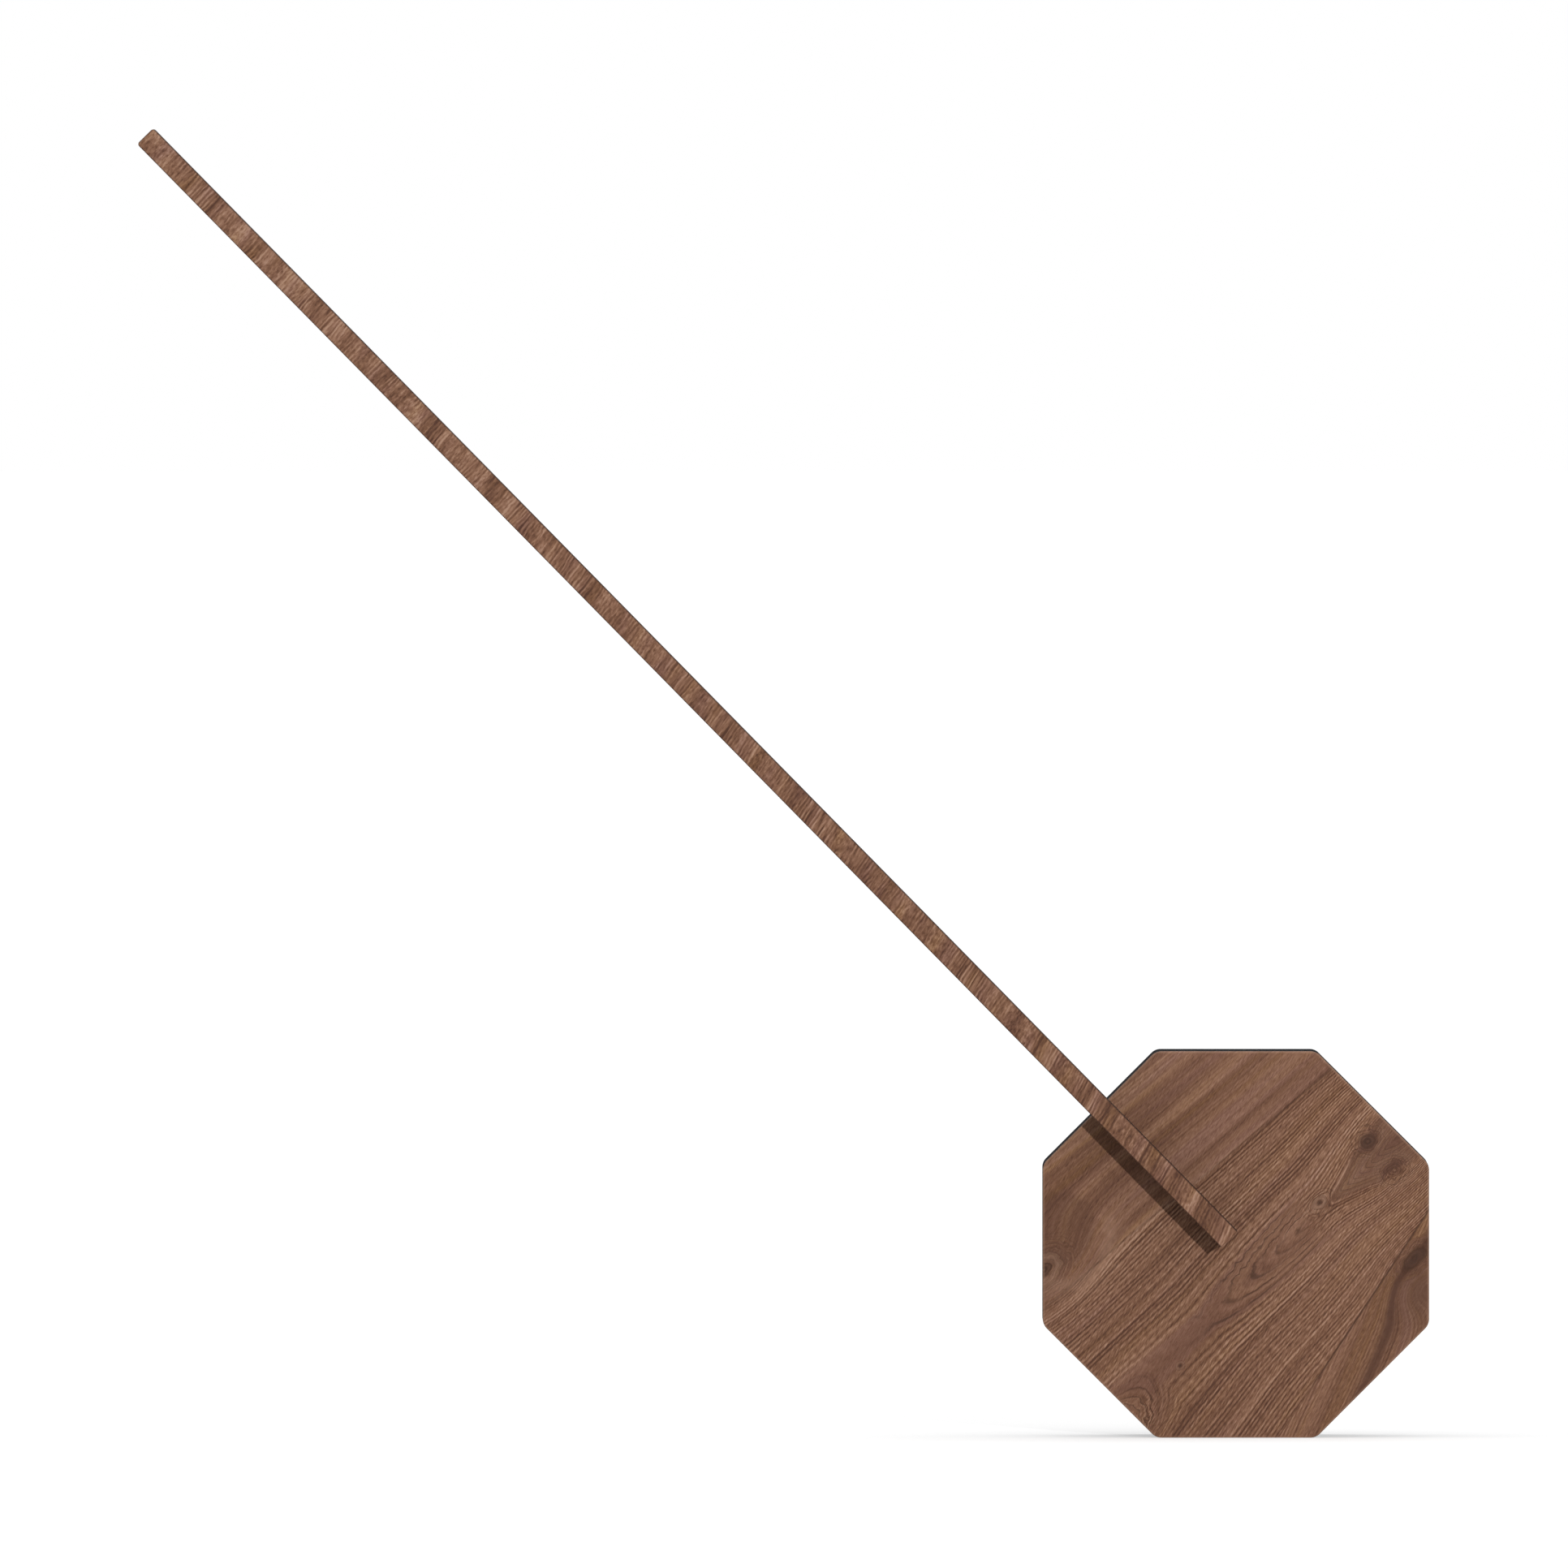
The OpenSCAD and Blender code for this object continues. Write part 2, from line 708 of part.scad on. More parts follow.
module push_button() {
    color(BLACK) base_frame() translate([button_x, button_y]) {
        rod(button_d, z_back - button_proud, z_button_flange - z_back + button_proud);
        rod(button_flange_d, z_button_flange - button_flange_t, button_flange_t);
        rod(plunger_d - 2 * nub_inset, z_button_flange - root, nub_l + root);
    }
}

module switch_plunger() {
    color(NYLON) base_frame() translate([button_x, button_y])
        rod(plunger_d, z_plunger_tip, plunger_out + button_travel);
}

// Arm

// Bar as wide as the arm, from x to the tip, with its two far corners rounded
module tip_bar(x, z, depth) {
    block(x, -arm_width / 2, z, [arm_reach - tip_r - x, arm_width, depth]);
    block(x, -arm_width / 2 + tip_r, z, [arm_reach - x, arm_width - 2 * tip_r, depth]);
    for (y = [-1, 1]) translate([arm_reach - tip_r, y * (arm_width / 2 - tip_r)]) rod(2 * tip_r, z, depth);
}

module arm_walnut_strip() {
    color(WALNUT) arm_frame() tip_bar(-arm_tail, z_strip, strip_t);
}

module arm_channel() {
    length = arm_length - cap_t;
    color(BLACK) arm_frame() difference() {
        block(-arm_tail, -arm_width / 2, z_arm, [length, arm_width, channel_depth]);
        block(-arm_tail - cut, cavity_top, z_cavity, [length + 2 * cut, cavity_h + cut, cavity_depth]);
        rod(shaft_d + 2 * fit, z_arm - cut, channel_wall + 2 * cut);
        for (x = foot_screw_x) translate([x, 0, z_arm]) {
            rod(small_screw_d + fit, -cut, channel_wall + 2 * cut);
            cylinder(d1 = small_head_d + fit, d2 = small_screw_d + fit, h = foot_screw_head_h);
        }
    }
}

module arm_foot() {
    color("#8d8f92") arm_frame() difference() {
        block(-arm_tail, cavity_top, z_cavity, [arm_tail + foot_reach, cavity_h, cavity_depth]);
        rod(shaft_d + 2 * seat, z_cavity - cut, shaft_seat + seat + cut);
        rod(lead_bore, z_cavity, z_lead - z_cavity + lead_bore / 2);
        translate([0, 0, z_lead]) rotate([0, 90, 0]) cylinder(d = lead_bore, h = foot_reach + cut);
        for (x = foot_screw_x)
            translate([x, 0]) rod(small_screw_d + pilot, z_cavity - cut, foot_screw_l + cut);
    }
}

module foot_screws() {
    color(STEEL) arm_frame() for (x = foot_screw_x)
        translate([x, 0, z_arm]) flat_screw(small_screw_d, foot_screw_l, small_head_d, foot_screw_head_h);
}

module arm_tip_cap() {
    plug_gap = 0.1;
    plug_y = cavity_top + strip_board_t + plug_gap;
    color(BLACK) arm_frame() {
        tip_bar(arm_reach - cap_t, z_arm, channel_depth);
        block(arm_reach - cap_t - cap_plug_l, plug_y, z_cavity + plug_gap,
            [cap_plug_l + root, arm_width / 2 - plug_y, cavity_depth - 2 * plug_gap]);
    }
}

module channel_cover() {
    side_gap = 0.1;
    color(BLACK) arm_frame() block(foot_reach + side_gap, arm_width / 2 - diffuser_t, z_cavity + side_gap,
        [light_start - foot_reach - 2 * side_gap, diffuser_t, cavity_depth - 2 * side_gap]);
}

module led_board() {
    color("white") arm_frame() block(light_start, cavity_top, z_cavity + (cavity_depth - strip_board_w) / 2,
        [light_length, strip_board_t, strip_board_w]);
}

module led_emitters() {
    first = light_start + (light_length - (led_count - 1) * led_pitch) / 2;
    color("#f2d98c") arm_frame() for (i = [0 : led_count - 1])
        block(first + i * led_pitch - led_side / 2, cavity_top + strip_board_t,
            z_cavity + (cavity_depth - led_side) / 2, [led_side, led_h, led_side]);
}

module diffuser() {
    side_gap = 0.1;
    color("#f4f2ec") arm_frame() block(light_start, arm_width / 2 - diffuser_t, z_cavity + side_gap,
        [light_length, diffuser_t, cavity_depth - 2 * side_gap]);
}

module arm_lead() {
    bend = z_lead - lead_bend_r;
    color(BLACK) arm_frame() {
        rod(lead_d, z_lead_end, bend - z_lead_end);
        translate([lead_bend_r, 0, bend]) rotate([90, 0, 0]) rotate([0, 0, 90])
            rotate_extrude(angle = 90) translate([lead_bend_r, 0]) circle(d = lead_d);
        translate([lead_bend_r, 0, z_lead]) rotate([0, 90, 0])
            cylinder(d = lead_d, h = light_start + lead_overlap - lead_bend_r);
    }
}

// Pivot: the pieces that turn with the arm

module pivot_shaft() {
    keyed_l = z_friction - z_shaft_end;
    color(STEEL) arm_frame() difference() {
        rod(shaft_d, z_shaft_end, z_shaft_top - z_shaft_end);
        rod(shaft_bore, z_shaft_end - cut, z_shaft_top - z_shaft_end + 2 * cut);
        block(-shaft_d, shaft_d / 2 - shaft_flat, z_shaft_end - cut, [2 * shaft_d, shaft_d, keyed_l + cut]);
    }
}

module stop_washer() {
    color(STEEL) arm_frame() difference() {
        union() {
            rod(stop_washer_d, z_stop, stop_t);
            block(0, -tab_w / 2, z_stop, [tab_reach, tab_w, stop_t]);
        }
        difference() {
            rod(shaft_d + 2 * seat, z_stop - cut, stop_t + 2 * cut);
            block(-shaft_d, shaft_d / 2 - shaft_flat + seat, z_stop - 2 * cut,
                [2 * shaft_d, shaft_d, stop_t + 4 * cut]);
        }
    }
}

module disc_spring() {
    hole_r = shaft_d / 2 + seat;
    rim_r = spring_d / 2;
    color(STEEL) arm_frame() translate([0, 0, z_spring]) rotate_extrude() polygon([
        [hole_r, 0], [hole_r, spring_plate], [rim_r, spring_h], [rim_r, spring_h - spring_plate]]);
}

module lock_nut() {
    color(STEEL) arm_frame() difference() {
        translate([0, 0, z_nut]) cylinder(d = nut_across / cos(30), h = nut_h, $fn = 6);
        rod(shaft_d + 2 * seat, z_nut - cut, nut_h + 2 * cut);
    }
}

front_panel();
panel_inserts();
shell();
panel_screws();
back_cover();
cover_screws();
pivot_bush();
bush_screws();
friction_washer();
stop_pins();
low_counterweight();
side_counterweight();
counterweight_screws();
battery_pack();
battery_guard_board();
battery_foam_pad();
battery_clamp();
clamp_screws();
battery_lead();
circuit_board();
board_components();
board_screws();
lamp_lead();
charging_socket();
socket_tongue();
switch_body();
indicator_light_pipe();
push_button();
switch_plunger();
arm_walnut_strip();
arm_channel();
arm_foot();
foot_screws();
arm_tip_cap();
channel_cover();
led_board();
led_emitters();
diffuser();
arm_lead();
pivot_shaft();
stop_washer();
disc_spring();
lock_nut();
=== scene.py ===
"""Looks of a rechargeable desk lamp: an octagonal base and a slim swing arm, both faced in walnut."""

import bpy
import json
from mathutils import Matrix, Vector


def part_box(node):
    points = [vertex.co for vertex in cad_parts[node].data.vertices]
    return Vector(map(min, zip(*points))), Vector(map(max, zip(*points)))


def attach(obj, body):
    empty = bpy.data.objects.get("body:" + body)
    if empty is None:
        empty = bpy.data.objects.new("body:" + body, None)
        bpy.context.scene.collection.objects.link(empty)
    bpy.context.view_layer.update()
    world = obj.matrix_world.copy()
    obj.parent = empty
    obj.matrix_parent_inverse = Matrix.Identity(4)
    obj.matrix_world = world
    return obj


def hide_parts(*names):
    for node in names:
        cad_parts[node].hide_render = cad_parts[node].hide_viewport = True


bl_info = {
    "name": "Rechargeable Desk Lamp",
    "version": (1, 0, 0),
    "blender": (4, 5, 0),
    "location": "View3D > Sidebar > Desk Lamp",
    "description": "Dresses the solids of a desk lamp in walnut, black mouldings and metal",
    "category": "Object",
}

import json
import math

import bmesh
import bpy
from bpy.props import FloatProperty, FloatVectorProperty, IntProperty, PointerProperty
from bpy.types import Operator, Panel, PropertyGroup
from mathutils import Matrix, Vector

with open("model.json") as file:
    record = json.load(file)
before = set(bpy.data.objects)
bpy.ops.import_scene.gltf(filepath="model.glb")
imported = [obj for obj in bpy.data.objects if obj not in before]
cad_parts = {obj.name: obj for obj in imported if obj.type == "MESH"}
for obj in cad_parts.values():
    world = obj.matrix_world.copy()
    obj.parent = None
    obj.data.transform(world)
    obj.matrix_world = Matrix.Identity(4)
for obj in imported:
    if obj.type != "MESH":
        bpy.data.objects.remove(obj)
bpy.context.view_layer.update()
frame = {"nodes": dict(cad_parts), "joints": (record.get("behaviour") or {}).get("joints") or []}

MM = 0.001
PANEL_LOW, PANEL_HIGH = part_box("front_panel")
PANEL_CENTRE = ((PANEL_LOW[0] + PANEL_HIGH[0]) / 2, PANEL_LOW[1], (PANEL_LOW[2] + PANEL_HIGH[2]) / 2)
BUTTON_LOW, BUTTON_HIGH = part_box("push_button")
SWING = next(joint for joint in frame["joints"] if joint["name"] == "arm_swing")
PIVOT = tuple(SWING["pos_m"])
PANEL_PIVOT = (PIVOT[0], PANEL_CENTRE[1], PIVOT[2])


def srgb(red, green, blue):
    """Linear colour of three 8-bit screen values."""
    parts = (value / 255 for value in (red, green, blue))
    return tuple(part / 12.92 if part <= 0.04045 else ((part + 0.055) / 1.055) ** 2.4 for part in parts)


def number(name, description, default, subtype="NONE"):
    """A plain number."""
    return FloatProperty(name=name, description=description, default=default, subtype=subtype)


def length(name, description, default):
    """A size in metres."""
    return FloatProperty(name=name, description=description, default=default, unit="LENGTH", precision=5)


def angle(name, description, degrees):
    """A turn, given in degrees and kept in radians."""
    return FloatProperty(name=name, description=description, default=math.radians(degrees), unit="ROTATION")


def colour(name, description, default):
    """A linear colour."""
    return FloatVectorProperty(
        name=name, description=description, default=default, subtype="COLOR", size=3, min=0.0, max=1.0
    )


class DeskLampPanelSizes(PropertyGroup):
    """Walnut front panel of the base."""

    across: length("Across flats", "Width of the octagon over two flats", PANEL_HIGH[0] - PANEL_LOW[0])
    thickness: length("Thickness", "Thickness of the walnut", PANEL_HIGH[1] - PANEL_LOW[1])
    corner: length("Corner radius", "Rounding of the octagon's eight corners", 4 * MM)
    corner_steps: IntProperty(name="Corner steps", description="Faces in each rounded corner", default=8)
    arris: length("Arris", "Width of the softened front edge", 0.5 * MM)
    pivot_hole: length("Pivot hole", "Radius of the hole for the pivot's bush", 3.42 * MM)
    pivot_steps: IntProperty(name="Pivot steps", description="Faces round the pivot's hole", default=48)
    grain: angle("Grain", "Slope of the grain on the panel", 43)


class DeskLampArmSizes(PropertyGroup):
    """Walnut strip on the front of the arm."""

    heading: angle("Heading", "Direction of the arm from the pivot, from the lamp's +X", 134.5)
    width: length("Width", "Width of the strip", 7 * MM)
    reach: length("Reach", "From the pivot to the tip", 466 * MM)
    tip: length("Tip radius", "Rounding of the two corners at the tip", 1 * MM)
    arris: length("Arris", "Width of the softened edges", 0.35 * MM)


class DeskLampButtonSizes(PropertyGroup):
    """Push button in the back cover."""

    cap: length("Cap radius", "Radius of the part that is pressed", 6 * MM)
    flange: length("Flange radius", "Radius of the lip inside the cover", 7.5 * MM)
    flange_depth: length("Flange depth", "Thickness of the lip", 1.3 * MM)
    nub: length("Nub radius", "Radius of the stub that meets the switch", 1.5 * MM)
    dish: length("Dish", "Depth of the hollow for a fingertip", 0.5 * MM)
    rim: length("Rim", "Width of the raised rim", 0.9 * MM)
    edge: length("Edge", "Bevel on the cap's outer edge", 0.3 * MM)
    gap: length("Gap", "Room between the lip and the cover", 0.1 * MM)
    steps: IntProperty(name="Steps", description="Faces round the button", default=64)


class DeskLampFinishes(PropertyGroup):
    """Colours of the lamp's materials."""

    groove: colour("Walnut groove", "Darkest tone of the walnut", srgb(80, 53, 41))
    shade: colour("Walnut shade", "Dark bands of the walnut", srgb(104, 72, 54))
    middle: colour("Walnut middle", "Main tone of the walnut", srgb(118, 84, 65))
    pale: colour("Walnut pale", "Pale bands of the walnut", srgb(135, 100, 79))
    # The crest tone is also painted on the panel's front edge as a highlight.
    crest: colour("Walnut crest", "Palest tone of the walnut", srgb(160, 126, 105))
    mauve: colour("Walnut mauve", "Cool cast laid over the heartwood", srgb(246, 244, 255))
    olive: colour("Walnut olive", "Warm cast laid over the sapwood", srgb(255, 254, 236))
    # The knot colour is also painted along the arm strip's edges as shade.
    knot: colour("Walnut knot", "Middle of a knot", srgb(64, 43, 33))
    moulding: colour("Black moulding", "Moulded body of the lamp", srgb(30, 30, 32))
    anodised: colour("Black anodising", "Metal channel of the arm", srgb(27, 27, 29))
    opal: colour("Opal", "Diffuser of the light strip", srgb(238, 236, 229))
    light_board: colour("Light board", "White board of the light strip", srgb(232, 232, 228))
    light_track: colour("Light track", "Tracks on the light strip's board", srgb(196, 190, 176))
    emitter: colour("Emitter", "Light emitters on the strip", srgb(236, 205, 96))
    black_steel: colour("Black steel", "Screws of the back cover", srgb(46, 46, 48))
    socket: colour("Socket", "Metal shell of the charging socket", srgb(196, 198, 200))
    tongue: colour("Tongue", "Moulded tongue in the charging socket", srgb(26, 26, 28))
    light_pipe: colour("Light pipe", "Clear pipe of the indicator", srgb(214, 220, 216))
    steel: colour("Steel", "Screws, pins and the pivot", srgb(186, 188, 190))
    counterweight: colour("Counterweight", "Rolled steel of the counterweights", srgb(150, 150, 152))
    bronze: colour("Bronze", "Bush of the pivot and threaded inserts", srgb(188, 146, 92))
    nylon: colour("Nylon", "Friction washer and plunger of the switch", srgb(226, 222, 206))
    foam: colour("Foam", "Pad under the battery", srgb(52, 52, 54))
    pouch: colour("Cell pouch", "Wrap of the battery", srgb(96, 140, 176))
    board: colour("Circuit board", "Lacquer of the circuit boards", srgb(22, 84, 54))
    track: colour("Track", "Tracks under the lacquer", srgb(52, 128, 84))
    component: colour("Component", "Parts on the circuit board", srgb(44, 44, 46))
    black_lead: colour("Black lead", "Leads to the light strip", srgb(32, 32, 34))
    red_lead: colour("Red lead", "Lead of the battery", srgb(150, 38, 34))


class DeskLampStageSettings(PropertyGroup):
    """Camera, lights and floor."""

    aim_x: length("Aim X", "Middle of the view, sideways", -0.1404)
    aim_z: length("Aim Z", "Middle of the view, upwards", 0.2031)
    width: length("View width", "Width of the view at the lamp", 0.487)
    distance: length("Distance", "From the lamp to the camera", 20.0)
    elevation: angle("Elevation", "Slope of the camera's view downwards", 0.85)
    key: number("Key", "Strength of the key light", 1.92)
    key_spread: angle("Key spread", "Apparent size of the key light", 0.8)
    sky: number("Sky", "Strength of the even light", 0.3)
    top: number("Top", "Strength of the soft light overhead", 1.3)
    top_spread: angle("Top spread", "Apparent size of the soft light overhead", 110)
    floor_white: number("Floor white", "Brightness of the floor as seen", 4.9)
    floor_shadow: number("Floor shadow", "How much of the shadows the floor shows", 0.9, "FACTOR")


class Wire:
    """An output socket that takes part in Python arithmetic."""

    def __init__(self, finish, socket):
        self.finish = finish
        self.socket = socket

    def maths(self, operation, *values):
        """A Math node on this value and others."""
        inputs = dict(enumerate((self, *values)))
        return self.finish.node("ShaderNodeMath", {"operation": operation}, inputs)

    def reflected(self, operation, value):
        """A Math node on a plain number and this value."""
        return self.finish.node("ShaderNodeMath", {"operation": operation}, {0: value, 1: self})

    def __add__(self, other):
        return self.maths("ADD", other)

    def __radd__(self, other):
        return self.reflected("ADD", other)

    def __sub__(self, other):
        return self.maths("SUBTRACT", other)

    def __rsub__(self, other):
        return self.reflected("SUBTRACT", other)

    def __mul__(self, other):
        return self.maths("MULTIPLY", other)

    def __rmul__(self, other):
        return self.reflected("MULTIPLY", other)

    def __truediv__(self, other):
        return self.maths("DIVIDE", other)

    def __pow__(self, other):
        return self.maths("POWER", other)

    def __neg__(self):
        return self.maths("MULTIPLY", -1.0)


class Finish:
    """Nodes of one material or of the world."""

    def __init__(self, tree):
        self.tree = tree
        self.tree.nodes.clear()

    def node(self, kind, settings, inputs, output=0):
        """Adds a node, sets it up, feeds its sockets, and gives back one output."""
        node = self.tree.nodes.new(kind)
        for key, value in settings.items():
            if key == "stops":
                ramp = node.color_ramp
                while len(ramp.elements) < len(value):
                    ramp.elements.new(1.0)
                for element, (position, tone) in zip(ramp.elements, value):
                    element.position = position
                    element.color = (*tone, 1.0)
            else:
                setattr(node, key, value)
        for key, value in inputs.items():
            socket = node.inputs[key]
            if isinstance(value, Wire):
                self.tree.links.new(value.socket, socket)
            elif socket.type == "RGBA":
                socket.default_value = (*value, 1.0)
            else:
                socket.default_value = value
        return Wire(self, node.outputs[output] if node.outputs else None)

    def place(self, centre=(0.0, 0.0, 0.0), turn=0.0):
        """Object coordinates in millimetres from a centre, turned about the lamp's Y axis."""
        coordinates = self.node("ShaderNodeTexCoord", {}, {}, "Object")
        return self.node(
            "ShaderNodeMapping",
            {"vector_type": "TEXTURE"},
            {"Vector": coordinates, "Location": centre, "Rotation": (0.0, turn, 0.0), "Scale": (MM,) * 3},
        )

    def parts(self, vector):
        """A vector's three numbers."""
        return [self.node("ShaderNodeSeparateXYZ", {}, {0: vector}, axis) for axis in "XYZ"]

    def vector(self, x, y, z):
        """A vector from three numbers."""
        return self.node("ShaderNodeCombineXYZ", {}, {0: x, 1: y, 2: z})

    def noise(self, vector, scale=1.0, detail=2.0, rough=0.5):
        """Smooth noise about zero."""
        inputs = {"Vector": vector, "Scale": scale, "Detail": detail, "Roughness": rough}
        return self.node("ShaderNodeTexNoise", {}, inputs) - 0.5

    def grain(self, place, cell, shift=0.0, detail=2.0, rough=0.5):
        """Smooth noise about zero, stretched to three lengths and moved to a part of its own."""
        x, y, z = (value / size for value, size in zip(place, cell))
        return self.noise(self.vector(x, y, z + shift if shift else z), detail=detail, rough=rough)

    def step(self, value, low, high):
        """Smooth rise from 0 at low to 1 at high."""
        return self.node(
            "ShaderNodeMapRange",
            {"interpolation_type": "SMOOTHSTEP"},
            {"Value": value, "From Min": low, "From Max": high},
        )

    def fall(self, value, low, high):
        """Smooth fall from 1 at low to 0 at high."""
        return 1 - self.step(value, low, high)

    def line(self, value, inner, outer):
        """1 on the line where a value is zero, and 0 from an outer distance on."""
        return self.fall(value.maths("ABSOLUTE"), inner, outer)

    def contours(self, value, inner, outer):
        """1 on the lines where a value is a whole number."""
        return self.fall(value.maths("PINGPONG", 0.5), inner, outer)

    def mix(self, factor, first, second, blend="MIX"):
        """Blend of two colours."""
        return self.node(
            "ShaderNodeMix",
            {"data_type": "RGBA", "blend_type": blend},
            {"Factor": factor, 6: first, 7: second},
            2,
        )

    def ramp(self, factor, stops):
        """Colour read off a row of stops."""
        return self.node("ShaderNodeValToRGB", {"stops": stops}, {"Fac": factor})

    def bump(self, height, strength, distance):
        """Surface normal of a height map."""
        return self.node(
            "ShaderNodeBump", {}, {"Height": height, "Strength": strength, "Distance": distance}
        )

    def surface(self, inputs):
        """Principled shader, joined to the material's output."""
        shader = self.node("ShaderNodeBsdfPrincipled", {}, inputs)
        self.node("ShaderNodeOutputMaterial", {}, {"Surface": shader})


def material(name):
    """A new material and the finish that fills it."""
    made = bpy.data.materials.new(name)
    made.use_nodes = True
    return made, Finish(made.node_tree)


def swelling(along, across, centre, reach, width, lift):
    """A smooth round hill about a point of a board."""
    ahead = (along - centre[0]) / reach
    aside = (across - centre[1]) / width
    return (-(ahead * ahead + aside * aside)).maths("EXPONENT") * lift


def bell(value, width):
    """1 where a value is zero, falling away smoothly over a width on both sides."""
    return (-((value / width) ** 2)).maths("EXPONENT")


def most(first, *others):
    """The largest of several values."""
    for other in others:
        first = first.maths("MAXIMUM", other)
    return first


WALNUT_STOPS = (0.06, 0.32, 0.5, 0.68, 0.95)
WALNUT_CAST_FULL = 0.16
WALNUT_ROUGH = 0.7
WALNUT_ROUGH_LOSS = 0.15
WALNUT_SHINE = 0.1
WALNUT_RELIEF = 0.35 * MM


def walnut_tint(finish, colours, tone, cast):
    """Colour of walnut from its tone, about 0.5, and its cast, about 0."""
    tones = (colours.groove, colours.shade, colours.middle, colours.pale, colours.crest)
    tint = finish.ramp(tone, tuple(zip(WALNUT_STOPS, tones)))
    tint = finish.mix(finish.step(cast, 0.0, WALNUT_CAST_FULL), tint, colours.mauve, "MULTIPLY")
    return finish.mix(finish.step(-cast, 0.0, WALNUT_CAST_FULL), tint, colours.olive, "MULTIPLY")


def walnut_surface(finish, tint, tone, height):
    """Oiled walnut with its grain standing slightly proud."""
    finish.surface(
        {
            "Base Color": tint,
            "Roughness": WALNUT_ROUGH - tone * WALNUT_ROUGH_LOSS,
            "Specular IOR Level": WALNUT_SHINE,
            "Normal": finish.bump(height, 0.5, WALNUT_RELIEF),
        }
    )


# Grain of the ridged walnut in millimetres: lengths along the grain, across it and into the wood.
BAND_CELL = (140.0, 7.0, 40.0)
STREAK_CELL = (140.0, 1.7, 12.0)
LINE_CELL = (220.0, 1.5, 20.0)
FIBRE_CELL = (2.0, 0.42, 3.0)
PORE_CELL = (1.6, 0.26, 1.2)
WOBBLE_CELL = (110.0, 5.0, 20.0)
SWELL_CELL = (40.0, 3.0, 20.0)
FIBRE_SLANT = 0.3
RIDGE_PITCH = 1.12
RIDGED_TONE = 0.48


def ridged_tone(finish, along, across, ring, depth, ridged):
    """Tone and height of walnut that is brushed to fine ridges along its growth rings."""
    rings = (along, ring, depth)
    fibres = (along, across - along * FIBRE_SLANT, depth)
    band = finish.grain(rings, BAND_CELL)
    streak = finish.grain(rings, STREAK_CELL, detail=3.0, rough=0.6)
    fibre = finish.grain(fibres, FIBRE_CELL)
    pits = finish.step(finish.grain(fibres, PORE_CELL, detail=1.0), 0.1, 0.22)
    line = finish.step(finish.grain(rings, LINE_CELL, shift=5.0, detail=1.0), 0.1, 0.19)
    lines = line * (0.25 + ridged * 0.75)
    wobble = finish.grain(rings, WOBBLE_CELL)
    swell = finish.step(finish.grain(rings, SWELL_CELL, shift=3.0), -0.16, 0.16)
    wave = ((ring / RIDGE_PITCH + wobble * 1.2) * math.tau).maths("SINE") * (0.45 + swell * 0.55)
    groove = wave.maths("MAXIMUM", 0.0) ** 2
    crest = (-wave).maths("MAXIMUM", 0.0)
    relief = (crest * 0.6 - groove) * ridged
    tone = RIDGED_TONE + band * 0.8 + streak * 0.65 + relief * 0.42 - lines * 0.2
    tone = tone + fibre * (0.5 + ridged * 0.75) - pits * 0.16
    return tone, relief * 0.5 + fibre * 0.5 - pits * 0.3 - lines * 0.3


